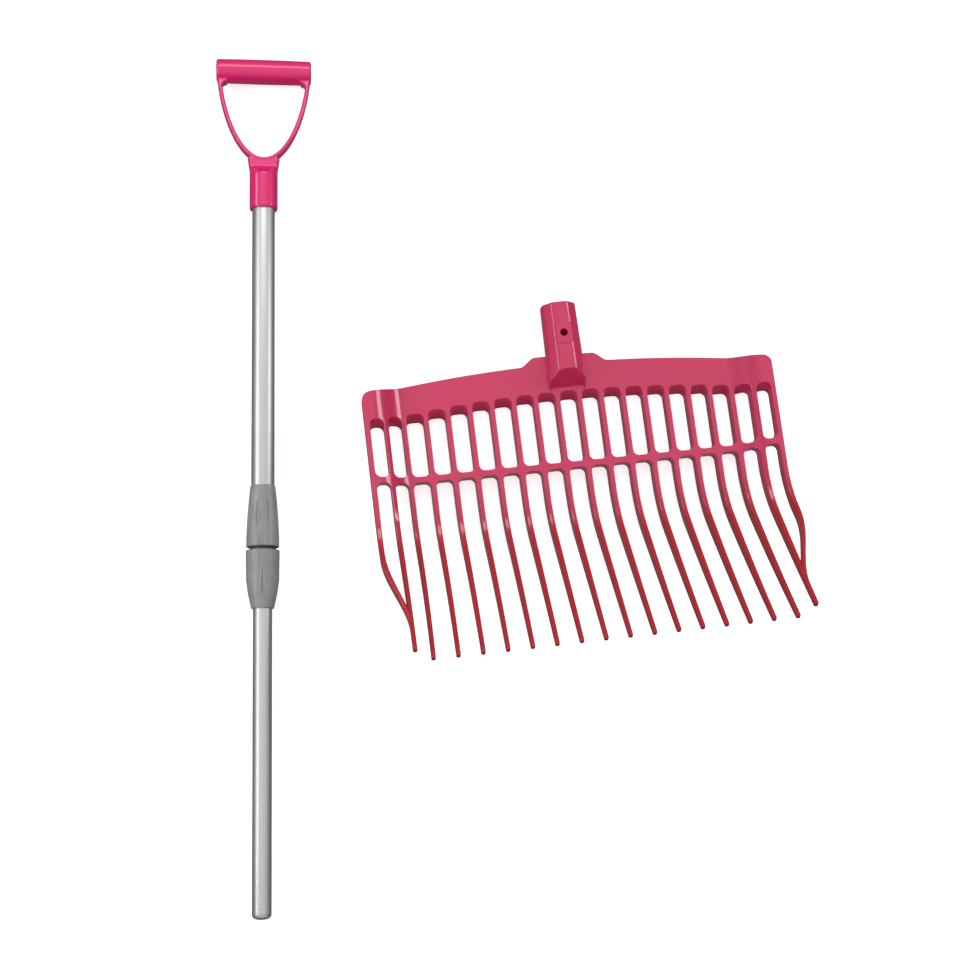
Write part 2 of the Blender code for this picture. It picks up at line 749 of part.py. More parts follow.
# Slots between the bars, whose upper wall slopes back, and the gaps below the rail
slot_bodies = []
gap_bodies = []
for index in range(TINE_COUNT - 1):
    left = bar_across(index) + BAR_WIDTH / 2
    right = bar_across(index + 1) - BAR_WIDTH / 2
    middle = (left + right) / 2
    front = HEAD_DEPTH + wing_lift(middle)
    corners = [SLOT_CORNER] * 4
    if index == 0:
        corners[2] = OUTER_SLOT_CORNER
    if index == TINE_COUNT - 2:
        corners[3] = OUTER_SLOT_CORNER
    rings = []
    for height in (-CUT_PAST, front + CUT_PAST):
        top = slot_top(middle) - SLOT_TOP_SLOPE * (front - height) / HEAD_DEPTH
        rings.append(rounded_box(left, right, 0, top, height, corners))
    slot_bodies.append(rings)
    gap_corners = (SLOT_CORNER, SLOT_CORNER, GAP, GAP)
    gap_bodies.append([
        rounded_box(left, right, bars_end - CUT_PAST, -RAIL_HEIGHT, height, gap_corners)
        for height in (-CUT_PAST, front + CUT_PAST)
    ])
combine(fork_head, guide("slots", lofts("slots", slot_bodies + gap_bodies), head))

# Pockets in the plate's back, which leave a skin, a flange round it and ribs between
cells = []
rib = PLATE_FLANGE
edge = HEAD_SOCKET_WIDTH / 2 + rib
while edge + CELL_WIDTH / 2 < half_width - PLATE_FLANGE:
    cell_end = edge + CELL_WIDTH
    if half_width - PLATE_FLANGE - cell_end < CELL_WIDTH / 2:
        cell_end = half_width - PLATE_FLANGE
    cells.append((edge, cell_end))
    edge = cell_end + rib
pocket_bodies = []
for low, high in cells + [(-high, -low) for low, high in cells]:
    pocket_bodies.append([
        slab(
            x,
            slot_top(x) + PLATE_FLANGE,
            plate_top(x) - PLATE_FLANGE,
            -CUT_PAST,
            HEAD_DEPTH - PLATE_SKIN + wing_lift(x),
        )
        for x in stations(low, high)
    ])
combine(fork_head, guide("pockets", lofts("pockets", pocket_bodies), head))

# Tines: flat past the bars, then bent up, and splayed a little towards their tips
bend_start = bars_end - TINE_BEND_START
bend_radius = TINE_BEND_LENGTH / TINE_ANGLE


def tine_side(count, run):
    """Distance across the head at a run past the bend's start."""
    share = max(0.0, run) / TINE_LENGTH
    splay = count * (TIP_PITCH - BAR_PITCH) * between(share * share, share, SPLAY_AT_ROOT)
    if abs(count) > middle_bars / 2:
        splay -= math.copysign(WING_TINE_LEAN, count) * share * share
    return bar_across(count + (TINE_COUNT - 1) / 2) + splay


def tine_ring(run, across, lift, width, depth, sunk):
    """A chamfered section at a run past the bend's start, slanted like its bar at first, then square."""
    bent = min(max(run / TINE_BEND_LENGTH, 0.0), 1.0)
    angle = TINE_ANGLE * bent
    if run <= 0:
        y, z = bend_start - run, 0.0
    else:
        y = bend_start - bend_radius * math.sin(angle)
        z = bend_radius * (1 - math.cos(angle))
        straight = max(0.0, run - TINE_BEND_LENGTH)
        y -= straight * math.cos(angle)
        z += straight * math.sin(angle)
    z += HEAD_DEPTH
    cut = TINE_CHAMFER
    half = width / 2
    section = (
        (-half + cut, 0), (half - cut, 0), (half, cut), (half, depth - cut),
        (half - cut, depth), (-half + cut, depth), (-half, depth - cut), (-half, cut),
    )
    return [
        (
            across + side,
            y - math.sin(angle) * (down + sunk),
            z + between(wing_lift(across + side), lift, bent) - math.cos(angle) * (down + sunk),
        )
        for side, down in section
    ]


tine_bodies = []
outer_bodies = []
for index in range(TINE_COUNT):
    count = index - (TINE_COUNT - 1) / 2
    lift = wing_lift(bar_across(index))
    outermost = index in (0, TINE_COUNT - 1)
    nearly = index in (1, TINE_COUNT - 2)
    length = OUTER_TINE_LENGTH if nearly else TINE_LENGTH
    length = OUTER_TINE_JOIN if outermost else length
    rings = []
    bend_runs = [TINE_BEND_LENGTH * step / BEND_STEPS for step in range(BEND_STEPS)]
    straight_runs = [
        between(TINE_BEND_LENGTH, length, step / STRAIGHT_STEPS) for step in range(STRAIGHT_STEPS + 1)
    ]
    for run in [-TINE_ROOT] + bend_runs + straight_runs:
        share = max(0.0, run) / TINE_LENGTH
        width = between(BAR_WIDTH - 2 * TINE_SEAM, TINE_TIP_WIDTH, share)
        depth = between(HEAD_DEPTH - 2 * TINE_SEAM, TINE_TIP_DEPTH, share)
        side = tine_side(count, run)
        raised = lift
        sunk = TINE_SEAM
        if outermost:
            inwards = ease((run - OUTER_TINE_TURN) / (OUTER_TINE_JOIN - OUTER_TINE_TURN))
            neighbour = count - math.copysign(1, count)
            side = between(side, tine_side(neighbour, run), inwards)
            raised = between(lift, wing_lift(bar_across(index - int(math.copysign(1, count)))), inwards)
            width -= OUTER_TINE_THINNER * inwards
            depth -= OUTER_TINE_THINNER * inwards
            sunk += OUTER_TINE_THINNER / 2 * inwards
        rings.append(tine_ring(run, side, raised, width, depth, sunk))
    (outer_bodies if outermost else tine_bodies).append(rings)
combine(fork_head, guide("tines", lofts("tines", tine_bodies), head), "UNION")
combine(fork_head, guide("outer_tines", lofts("outer_tines", outer_bodies), head), "UNION")

# Socket: an eight-sided tube lying in the plate, with a slanting closed end
socket_low = slot_top(0) + HEAD_SOCKET_ABOVE_SLOTS
socket_high = socket_low + HEAD_SOCKET_LENGTH
flat = HEAD_SOCKET_WIDTH / 2
socket_level = flat + HEAD_SOCKET_OFF_FLOOR
eighth = math.radians(22.5)
edge_radius = HEAD_SOCKET_EDGE / math.tan(eighth)
edge_middle = (flat - edge_radius) / math.cos(eighth)
octagon = []
for step in range(8):
    corner = math.radians(45 * step) + eighth
    for angle in (corner - eighth, corner, corner + eighth):
        octagon.append((
            edge_middle * math.sin(corner) + edge_radius * math.sin(angle),
            socket_level + edge_middle * math.cos(corner) + edge_radius * math.cos(angle),
        ))


def socket_end(z):
    return socket_low + HEAD_SOCKET_END_SLOPE * max(0.0, z - HEAD_DEPTH) / (HEAD_SOCKET_WIDTH - HEAD_DEPTH)


socket = guide("socket", lofts("socket", [[
    [(x * HEAD_SOCKET_FOOT_SHARE, socket_end(z), z) for x, z in octagon],
    [(x, socket_high - HEAD_SOCKET_RIM, z) for x, z in octagon],
    [
        (x * HEAD_SOCKET_RIM_SHARE, socket_high, between(socket_level, z, HEAD_SOCKET_RIM_SHARE))
        for x, z in octagon
    ],
]]), head)
combine(fork_head, socket, "UNION")
pad_width, pad_length, pad_rise = SCREW_PAD
hole_y = socket_high - SCREW_HOLE_BELOW_TOP
pad_low = hole_y - pad_length / 2
pad_high = hole_y + pad_length / 2
pad = guide("screw_pad", lofts("screw_pad", [[
    rounded_box(-pad_width / 2, pad_width / 2, pad_low, pad_high, height, (SCREW_PAD_CORNER,) * 4)
    for height in (socket_level + flat - SCREW_PAD_SUNK, socket_level + flat + pad_rise)
]]), head)
combine(fork_head, pad, "UNION")

socket_axis = bpy.data.objects.new("socket_axis", None)
parts.objects.link(socket_axis)
socket_axis.parent = head
socket_axis.location = (0, socket_high, socket_level)
socket_axis.rotation_euler = (-math.pi / 2, 0, 0)
head_bore = round_cutter(
    "head_bore", LOWER_TUBE_RADIUS + GAP, -HEAD_BORE_DEPTH, CUT_PAST, socket_axis
)
combine(fork_head, head_bore)
hole = round_cutter(
    "screw_hole", SCREW_HOLE_RADIUS, 0, HEAD_SOCKET_WIDTH, socket_axis, across=(0, -1, 0), steps=HOLE_STEPS
)
hole.location = (0, 0, -SCREW_HOLE_BELOW_TOP)
combine(fork_head, hole)
core_bodies = []
for index in range(CORE_COUNT):
    sector = math.tau / CORE_COUNT
    rings = []
    for depth in (-CORE_DEPTH, CUT_PAST):
        outside = []
        inside = []
        for step in range(5):
            angle = sector * (index + 0.5 + CORE_SHARE * (step / 4 - 0.5))
            along = math.cos(angle)
            aside = math.sin(angle)
            outside.append((CORE_OUTER_RADIUS * along, CORE_OUTER_RADIUS * aside, depth))
            inside.append((CORE_INNER_RADIUS * along, CORE_INNER_RADIUS * aside, depth))
        rings.append(outside + inside[::-1])
    core_bodies.append(rings)
combine(fork_head, guide("socket_core", lofts("socket_core", core_bodies), socket_axis))

for piece in parts.objects:
    if piece.type == "MESH" and not piece.modifiers.get("turned"):
        smooth(piece.data)

# The assembly's origin goes under the middle of its box
bpy.context.view_layer.update()
graph = bpy.context.evaluated_depsgraph_get()
corners = []
for piece in parts.objects:
    if piece.type == "MESH":
        shape = piece.evaluated_get(graph)
        corners += [shape.matrix_world @ point.co for point in shape.data.vertices]
low = Vector([min(point[axis] for point in corners) for axis in range(3)])
high = Vector([max(point[axis] for point in corners) for axis in range(3)])
assembly.location = (-(low.x + high.x) / 2, -(low.y + high.y) / 2, 0)
bpy.context.view_layer.update()
print("size mm", [round(1000 * value, 2) for value in high - low], "lowest mm", round(1000 * low.z, 3))
for frame in (pole, head, socket_axis):
    print(frame.name, [round(value, 6) for value in frame.matrix_world.translation])
print("pole direction", [round(value, 7) for value in pole.matrix_world.to_3x3() @ Vector((0, 0, 1))])
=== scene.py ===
"""Manure fork taken apart, dressed: a telescopic pole with a D-grip, and a basket head beside it."""
import json
import math

import bmesh
import bpy
from mathutils import Matrix, Vector


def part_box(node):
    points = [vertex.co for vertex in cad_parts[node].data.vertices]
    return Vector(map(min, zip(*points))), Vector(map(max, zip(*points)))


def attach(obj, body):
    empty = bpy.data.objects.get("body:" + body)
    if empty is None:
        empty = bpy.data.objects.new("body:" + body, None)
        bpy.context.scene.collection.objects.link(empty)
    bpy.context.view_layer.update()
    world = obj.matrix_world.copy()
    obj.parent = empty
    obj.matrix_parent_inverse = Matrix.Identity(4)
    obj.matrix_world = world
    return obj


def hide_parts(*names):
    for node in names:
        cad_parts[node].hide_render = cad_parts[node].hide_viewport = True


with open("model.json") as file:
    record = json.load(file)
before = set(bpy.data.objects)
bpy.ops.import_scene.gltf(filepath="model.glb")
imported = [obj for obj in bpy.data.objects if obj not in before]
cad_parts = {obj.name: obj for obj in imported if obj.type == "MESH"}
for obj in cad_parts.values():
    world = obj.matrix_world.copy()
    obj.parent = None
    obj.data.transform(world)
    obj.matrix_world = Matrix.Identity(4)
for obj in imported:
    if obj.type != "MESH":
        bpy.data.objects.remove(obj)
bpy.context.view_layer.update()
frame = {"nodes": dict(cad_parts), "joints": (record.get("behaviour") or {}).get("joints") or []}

# Outer tube: drawn aluminium, 25 mm across with a 1.2 mm wall, cut square and lightly deburred.
# It runs from the collar up into the grip's socket. The pole's own frame is set here: its zero is at
# the collar's rim, Z runs up the pole to the grip, X is to its right and Y faces the floor.
OUTER_TUBE_RADIUS = 0.0125
OUTER_TUBE_WALL = 0.0012
OUTER_TUBE_FOOT = 0.0123
OUTER_TUBE_TOP = 0.4180
DEBURR = 0.0004
ROUND_STEPS = 3
MOST_EASED = 0.45
SHARP_EDGE = math.radians(38)
TURNED_SIDES = 128

joints = {joint["name"]: joint for joint in frame["joints"]}
along = Vector(joints["nut_turn"]["axis"]).normalized()
across = along.cross(Vector((0, 0, 1))).normalized()
collar_rim = Vector(joints["nut_turn"]["pos_m"])
pole = Matrix.Translation(collar_rim) @ Matrix((across, along.cross(across), along)).transposed().to_4x4()


class Level:
    """One socket of a finish, so that sums on it read as arithmetic."""

    def __init__(self, finish, socket):
        self.finish = finish
        self.socket = socket

    def maths(self, operation, first, second=0.0):
        return self.finish.node("Math", {"operation": operation}, {0: first, 1: second})

    def __add__(self, other):
        return self.maths("ADD", self, other)

    def __mul__(self, other):
        return self.maths("MULTIPLY", self, other)

    def __abs__(self):
        return self.maths("ABSOLUTE", self)

    __radd__ = __add__
    __rmul__ = __mul__


class Finish:
    """A surface finish: its shader's own sockets, and one way to add any other node."""

    def __init__(self, name, **own):
        self.material = bpy.data.materials.new(name)
        self.material.use_nodes = True
        self.tree = self.material.node_tree
        self.shader = self.tree.nodes["Principled BSDF"]
        for words, value in own.items():
            self.shader.inputs[words.replace("_", " ")].default_value = value
        self.place = self.node("TexCoord", {}, {}, "Object")

    def node(self, kind, settings, sockets, output=0):
        made = self.tree.nodes.new("ShaderNode" + kind)
        for name, value in settings.items():
            if name == "stops":
                for stop, (position, shade) in zip(made.color_ramp.elements, value):
                    stop.position = position
                    stop.color = (shade, shade, shade, 1)
            else:
                setattr(made, name, value)
        for name, value in sockets.items():
            if isinstance(value, Level):
                self.tree.links.new(value.socket, made.inputs[name])
            else:
                made.inputs[name].default_value = value
        return Level(self, made.outputs[output])

    def noise(self, scale, stretch=(1, 1, 1), detail=4.0):
        placed = self.node("Mapping", {}, {"Vector": self.place, "Scale": stretch})
        return self.node("TexNoise", {}, {"Vector": placed, "Scale": scale, "Detail": detail})

    def steps(self, level, *stops):
        return self.node("ValToRGB", {"stops": stops}, {"Fac": level})

    def mix(self, share, first, second):
        """A colour between two colours, or links to them."""
        first, second = (c if isinstance(c, Level) else (*c, 1.0) for c in (first, second))
        return self.node("Mix", {"data_type": "RGBA"}, {0: share, 6: first, 7: second}, 2)

    def bump(self, height, distance, strength):
        return self.node("Bump", {}, {"Height": height, "Distance": distance, "Strength": strength})

    def feed(self, **levels):
        for words, level in levels.items():
            self.tree.links.new(level.socket, self.shader.inputs[words.replace("_", " ")])

    def on(self, piece):
        if not piece.material_slots:
            piece.data.materials.append(self.material)
        for slot in piece.material_slots:
            slot.material = self.material


def piece_from(name, built, place):
    """An object from a finished bmesh whose points are in place's own frame."""
    bmesh.ops.recalc_face_normals(built, faces=built.faces)
    mesh = bpy.data.meshes.new(name)
    built.to_mesh(mesh)
    built.free()
    mesh.shade_smooth()
    mesh.set_sharp_from_angle(angle=SHARP_EDGE)
    piece = bpy.data.objects.new(name, mesh)
    bpy.context.scene.collection.objects.link(piece)
    piece.matrix_world = place
    return piece


def rounded(points, radius):
    """The closed profile with each corner eased off by radius, or less where its sides are short."""
    eased = []
    count = len(points)
    for index, (r, z) in enumerate(points):
        here = Vector((r, z))
        before = Vector(points[index - 1]) - here
        after = Vector(points[(index + 1) % count]) - here
        start = here + before.normalized() * min(radius, before.length * MOST_EASED)
        end = here + after.normalized() * min(radius, after.length * MOST_EASED)
        for step in range(ROUND_STEPS + 1):
            share = step / ROUND_STEPS
            mid = start * (1 - share) ** 2 + here * (2 * share * (1 - share)) + end * share**2
            eased.append((mid.x, mid.y))
    return eased


def turned(name, profile, closed=True, sides=TURNED_SIDES, shape=None):
    """A piece turned round the pole's axis from (radius, height) points. shape may change a radius."""
    built = bmesh.new()
    rows = []
    for radius, height in profile:
        row = []
        for side in range(sides if radius > 0 else 1):
            angle = math.tau * side / sides
            out = shape(radius, height, angle) if shape else radius
            row.append(built.verts.new((out * math.cos(angle), out * math.sin(angle), height)))
        rows.append(row)
    pairs = list(zip(rows, rows[1:]))
    if closed:
        pairs.append((rows[-1], rows[0]))
    for low, high in pairs:
        for side in range(sides):
            after = (side + 1) % sides
            corners = (
                low[side % len(low)],
                low[after % len(low)],
                high[after % len(high)],
                high[side % len(high)],
            )
            built.faces.new(list(dict.fromkeys(corners)))
    return piece_from(name, built, pole)


def tube(name, radius, wall, foot, top):
    section = [(radius, top), (radius, foot), (radius - wall, foot), (radius - wall, top)]
    return turned(name, rounded(section, DEBURR))


drawn_aluminium = Finish("drawn_aluminium", Metallic=1.0, Roughness=0.34)
die_lines = drawn_aluminium.noise(900, (1, 1, 0.006), 2.0)
mill_cloud = drawn_aluminium.noise(9, (1, 1, 0.35))
rubs = drawn_aluminium.steps(drawn_aluminium.noise(260, (0.08, 0.08, 1.0), 6.0), (0.60, 0.0), (0.72, 1.0))
drawn_aluminium.feed(
    Base_Color=drawn_aluminium.mix(
        die_lines * 0.6 + mill_cloud * 0.4, (0.52, 0.53, 0.54), (0.68, 0.69, 0.69)
    ),
    Roughness=die_lines * 0.14 + mill_cloud * 0.10 + rubs * 0.06 + 0.32,
    Normal=drawn_aluminium.bump(die_lines + rubs * 0.5, 0.00003, 0.5),
)
outer_tube = tube("outer_tube", OUTER_TUBE_RADIUS, OUTER_TUBE_WALL, OUTER_TUBE_FOOT, OUTER_TUBE_TOP)
drawn_aluminium.on(outer_tube)
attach(outer_tube, "handle")
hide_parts("upper_tube")

# Inner tube: the same drawn aluminium, 20.4 mm across, which slides up inside the outer tube. Its
# lower end is closed by a domed aluminium end; a white bush guides its other end inside the pole.
INNER_TUBE_RADIUS = 0.0102
INNER_TUBE_WALL = 0.0012
INNER_TUBE_TOP = 0.1100
TURN_NUT_FOOT = -0.0662
INNER_TUBE_SHOWN = 0.3178
INNER_TUBE_FOOT = TURN_NUT_FOOT - INNER_TUBE_SHOWN
SEAT_GAP = 0.0003
DOME_HEIGHT = 0.0052
DOME_PLUG = 0.0150
DOME_STEPS = 12
DOME_FULLNESS = 0.75

inner_tube = tube("inner_tube", INNER_TUBE_RADIUS, INNER_TUBE_WALL, INNER_TUBE_FOOT, INNER_TUBE_TOP)
drawn_aluminium.on(inner_tube)
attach(inner_tube, "lower_pole")
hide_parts("lower_tube")

plug_radius = INNER_TUBE_RADIUS - INNER_TUBE_WALL - SEAT_GAP
dome_rim = INNER_TUBE_FOOT - SEAT_GAP
dome_curve = [
    (INNER_TUBE_RADIUS * math.cos(turn) ** DOME_FULLNESS, dome_rim - DOME_HEIGHT * math.sin(turn))
    for turn in (math.pi / 2 * step / DOME_STEPS for step in range(DOME_STEPS))
]
dome_end = turned(
    "domed_end",
    [(0, dome_rim + DOME_PLUG), (plug_radius, dome_rim + DOME_PLUG), (plug_radius, dome_rim)]
    + dome_curve
    + [(0, dome_rim - DOME_HEIGHT)],
    closed=False,
)
drawn_aluminium.on(dome_end)
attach(dome_end, "lower_pole")
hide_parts("end_plug")

white_bush = Finish("white_bush_plastic", Roughness=0.45)
white_bush.feed(
    Base_Color=white_bush.mix(white_bush.noise(140), (0.70, 0.70, 0.67), (0.80, 0.80, 0.78)),
    Normal=white_bush.bump(white_bush.noise(2200), 0.00003, 0.4),
)
white_bush.on(frame["nodes"]["guide_bush"])

# Thread bush: a dark moulded bush pressed on the outer tube's end, with a coarse thread outside and
# four slotted jaws that close on the inner tube. Only a turn of its thread shows between the collars,
# so the hidden jaws are drawn here without their slots.
BUSH_RADIUS = 0.0146
BUSH_BORE = 0.0105
BUSH_TOP = 0.0117
THREAD_FOOT = -0.0260
THREAD_PITCH = 0.0030
THREAD_DEPTH = 0.0007
FLANK_STEEPNESS = 4
JAW_FOOT = -0.0430
JAW_ROOT_RADIUS = 0.0140
JAW_TIP_RADIUS = 0.0124
BUSH_ROW = 0.0005

dark_bush = Finish("dark_bush_plastic", Roughness=0.5)
dark_bush.feed(
    Base_Color=dark_bush.mix(dark_bush.noise(300), (0.045, 0.045, 0.05), (0.085, 0.085, 0.09)),
    Normal=dark_bush.bump(dark_bush.noise(1800), 0.00003, 0.4),
)


def threaded(radius, height, angle):
    """The thread's flanks, as a groove that winds round the barrel."""
    if radius < BUSH_RADIUS or height < THREAD_FOOT:
        return radius
    turns = (height / THREAD_PITCH - angle / math.tau) % 1
    flank = FLANK_STEEPNESS * abs(turns - 0.5) - 0.5
    return radius - THREAD_DEPTH * min(1.0, max(0.0, flank))


barrel = BUSH_TOP - THREAD_FOOT
barrel_rows = int(barrel / BUSH_ROW)
thread_bush = turned(
    "thread_bush",
    [(BUSH_RADIUS, BUSH_TOP - barrel * row / barrel_rows) for row in range(barrel_rows + 1)]
    + [(JAW_ROOT_RADIUS, THREAD_FOOT - DEBURR), (JAW_TIP_RADIUS, JAW_FOOT)]
    + [(BUSH_BORE, JAW_FOOT), (BUSH_BORE, BUSH_TOP)],
    shape=threaded,
)
dark_bush.on(thread_bush)
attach(thread_bush, "handle")
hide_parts("collet")

# Upper collar: a sleeve of matt grey plastic that stays on the outer tube. It flares towards its
# lower rim, and eight narrow finger flutes are moulded in its waist.
COLLAR_LENGTH = 0.0668
COLLAR_TOP_RADIUS = 0.0134
COLLAR_RIM_RADIUS = 0.0177
COLLAR_BULGE = 0.0009
COLLAR_SEAT = 0.0120
RIM_EASE = 0.0008
COLLAR_ROW = 0.0007
COLLAR_STEPS = 12
COLLAR_SIDES = 240
FLUTES = 8
UPPER_FLUTES = (0.0200, 0.0500)
FLUTE_WIDTH = 0.0025
FLUTE_DEPTH = 0.0013
FLUTE_TAPER = 0.8
FLUTE_HOLLOW = 0.6
FLUTE_FADE = 0.5

grey_collar = Finish("grey_collar_plastic", Roughness=0.5)
brushed = grey_collar.noise(420, (1, 1, 0.12), 5.0)
blotch = grey_collar.noise(70, (1, 1, 0.5))
grey_collar.feed(
    Base_Color=grey_collar.mix(brushed * 0.5 + blotch * 0.5, (0.11, 0.11, 0.11), (0.42, 0.42, 0.42)),
    Roughness=brushed * 0.2 + 0.26,
    Normal=grey_collar.bump(brushed + grey_collar.noise(2600) * 0.5, 0.00006, 0.6),
)


def spaced(points, gap):
    """The same profile with points at most a gap apart."""
    laid = []
    for here, after in zip(points, points[1:] + points[:1]):
        here = Vector(here)
        run = Vector(after) - here
        pieces = max(1, math.ceil(run.length / gap))
        laid += [tuple(here + run * (part / pieces)) for part in range(pieces)]
    return laid


def fluted(ends, turned_by, skin):
    """A radius that dips into spindle-shaped flutes between two heights, outside the skin radius."""
    low, high = ends

    def shape(radius, height, angle):
        share = (height - low) / (high - low)
        if radius < skin or not 0 < share < 1:
            return radius
        pitch = math.tau / FLUTES
        off = abs((angle - turned_by + pitch / 2) % pitch - pitch / 2) * radius
        spindle = math.sin(math.pi * share)
        half = FLUTE_WIDTH / 2 * spindle**FLUTE_TAPER
        if off >= half:
            return radius
        return radius - FLUTE_DEPTH * (1 - (off / half) ** 2) ** FLUTE_HOLLOW * spindle**FLUTE_FADE

    return shape


def collar_radius(height):
    share = height / COLLAR_LENGTH
    straight = COLLAR_RIM_RADIUS + (COLLAR_TOP_RADIUS - COLLAR_RIM_RADIUS) * share
    return straight + COLLAR_BULGE * math.sin(math.pi * share)


collar_heights = [COLLAR_LENGTH * (1 - step / COLLAR_STEPS) for step in range(COLLAR_STEPS + 1)]
collar_side = [(collar_radius(height), height) for height in collar_heights]
collar_bores = [
    (BUSH_RADIUS + SEAT_GAP, 0),
    (BUSH_RADIUS + SEAT_GAP, COLLAR_SEAT),
    (OUTER_TUBE_RADIUS + SEAT_GAP, COLLAR_SEAT),
    (OUTER_TUBE_RADIUS + SEAT_GAP, COLLAR_LENGTH),
]
upper_collar = turned(
    "upper_collar",
    spaced(rounded(collar_side + collar_bores, RIM_EASE), COLLAR_ROW),
    sides=COLLAR_SIDES,
    shape=fluted(UPPER_FLUTES, math.pi / FLUTES, OUTER_TUBE_RADIUS + 3 * SEAT_GAP),
)
grey_collar.on(upper_collar)
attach(upper_collar, "handle")
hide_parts("upper_sleeve")

# Turning collar: the grey nut that screws along the thread bush and pushes a white ring over its jaws
# to squeeze them shut. It is widest at its upper rim, has eight tapering finger flutes and narrows
# down to the inner tube.
NUT_TOP = -0.0037
NUT_TOP_RADIUS = 0.0181
NUT_WAIST_RADIUS = 0.01765
NUT_WAIST_BELOW_TOP = 0.0318
NUT_FOOT_RADIUS = 0.0121
NUT_BULGE = 0.0006
NUT_SHOULDER = -0.0439
LOWER_FLUTES = (-0.0590, -0.0210)

nut_waist = NUT_TOP - NUT_WAIST_BELOW_TOP
nut_side = [(NUT_TOP_RADIUS, NUT_TOP), (NUT_WAIST_RADIUS, nut_waist)]
for step in range(1, COLLAR_STEPS + 1):
    share = step / COLLAR_STEPS
    straight = NUT_WAIST_RADIUS + (NUT_FOOT_RADIUS - NUT_WAIST_RADIUS) * share
    height = nut_waist + (TURN_NUT_FOOT - nut_waist) * share
    nut_side.append((straight + NUT_BULGE * math.sin(math.pi * share), height))
nut_bores = [
    (INNER_TUBE_RADIUS + SEAT_GAP, TURN_NUT_FOOT),
    (INNER_TUBE_RADIUS + SEAT_GAP, NUT_SHOULDER),
    (BUSH_RADIUS + SEAT_GAP, NUT_SHOULDER),
    (BUSH_RADIUS + SEAT_GAP, NUT_TOP),
]
turning_collar = turned(
    "turning_collar",
    spaced(rounded(nut_side + nut_bores, RIM_EASE), COLLAR_ROW),
    sides=COLLAR_SIDES,
    shape=fluted(LOWER_FLUTES, 0, BUSH_RADIUS + 2 * SEAT_GAP),
)
grey_collar.on(turning_collar)
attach(turning_collar, "nut")
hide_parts("lock_nut")
white_bush.on(frame["nodes"]["clamp_ring"])

# Hand grip: one moulding of pink plastic. A rounded hand bar, a thin bow with a ridge along it, and a
# flat neck that ramps out into a round socket over the outer tube, held by one rivet from behind.
SOCKET_FOOT = 0.3800
SOCKET_TOP = OUTER_TUBE_TOP + SEAT_GAP
SOCKET_RADIUS = 0.0156
GRIP_SIDES = 64
NECK_LENGTH = 0.0221
NECK_TOP = SOCKET_TOP + NECK_LENGTH
HAND_ROOM = 0.0896
BAR_LENGTH = 0.1062
BAR_THICKNESS = 0.0268
BAR_DEPTH = 0.0310
BAR_LEVEL = NECK_TOP + HAND_ROOM + BAR_THICKNESS / 2
BAR_STEPS = 24
BAR_STEP_POWER = 1.7
BAR_TAPER = 0.036
BAR_END_ROUND = 0.0018
BAR_END_SHRINK = 0.13
BOW_THICKNESS = 0.0048
BOW_DEPTH = 0.0150
BOW_INSET = 0.0004
BOW_BULGE = (0.0491, NECK_TOP + 0.0612)
BOW_ROUND = 0.0297
BOW_STEPS = 48
BOW_RIDGE = 0.20
BOW_SLOPE = (0.80, 0.85)
BOW_EDGE = 0.70
NECK_WIDTH = 0.0360
NECK_BLEND = 0.30
NECK_SHY = 0.0007
NECK_RIM = ((0.0, 0.0010), (0.0004, 0.0003), (0.0012, 0.0))
WEB_DEPTH = 0.0140
SHOULDER = SOCKET_TOP + 0.0014
RAMP_LENGTH = 0.0095
CORNER_FILLET = 0.0055
FILLET_STEPS = 8
FILLET_DEPTH = 0.0144
FILLET_STANDS_IN = 0.0010
FILLET_SUNK = 0.0020
FILLET_TAIL = 0.0040
FILLET_TOP = 0.45
GRIP_VOXEL = 0.00065


def lofted(built, rings):
    """Adds one closed body to built: a skin over its rings, and a face on each end."""
    rows = [[built.verts.new(point) for point in ring] for ring in rings]
    count = len(rows[0])
    made = []
    for low, high in zip(rows, rows[1:]):
        for side in range(count):
            after = (side + 1) % count
            made.append(built.faces.new((low[side], low[after], high[after], high[side])))
    made.append(built.faces.new(rows[0][::-1]))
    made.append(built.faces.new(rows[-1]))
    bmesh.ops.recalc_face_normals(built, faces=made)


def shaped(piece):
    """Makes the piece's modifiers part of its mesh."""
    bpy.context.view_layer.update()
    seen = piece.evaluated_get(bpy.context.evaluated_depsgraph_get())
    mesh = bpy.data.meshes.new_from_object(seen)
    piece.modifiers.clear()
    piece.data = mesh


def united(piece, built, place, operation):
    """Cuts a bmesh's bodies from the piece, or joins them to it."""
    other = piece_from("worked", built, place)
    change = piece.modifiers.new("worked", "BOOLEAN")
    change.operation = operation
    change.object = other
    change.solver = "EXACT"
    shaped(piece)
    bpy.data.objects.remove(other)


moulded = bmesh.new()
bar_rings = []
for step in range(BAR_STEPS + 1):
    along_bar = 1 - 2 * step / BAR_STEPS
    from_middle = 1 - (1 - abs(along_bar)) ** BAR_STEP_POWER
    x = BAR_LENGTH / 2 * from_middle * (1 if along_bar > 0 else -1)
    near_end = BAR_LENGTH / 2 - abs(x)
    size = 1 - BAR_TAPER * (2 * x / BAR_LENGTH) ** 2
    size -= BAR_END_SHRINK * max(0.0, 1 - near_end / BAR_END_ROUND) ** 2
    bar_rings.append([
        (
            x,
            size * BAR_DEPTH / 2 * math.sin(math.tau * side / GRIP_SIDES),
            BAR_LEVEL + size * BAR_THICKNESS / 2 * math.cos(math.tau * side / GRIP_SIDES),
        )
        for side in range(GRIP_SIDES)
    ])
lofted(moulded, bar_rings)

bow_low = NECK_TOP - BOW_THICKNESS / 2
bow_pulls = [
    Vector((BAR_LENGTH / 2 - BOW_THICKNESS / 2 - BOW_INSET, BAR_LEVEL)),
    Vector(BOW_BULGE),
    Vector((BOW_ROUND, bow_low)),
    Vector((0, bow_low)),
]


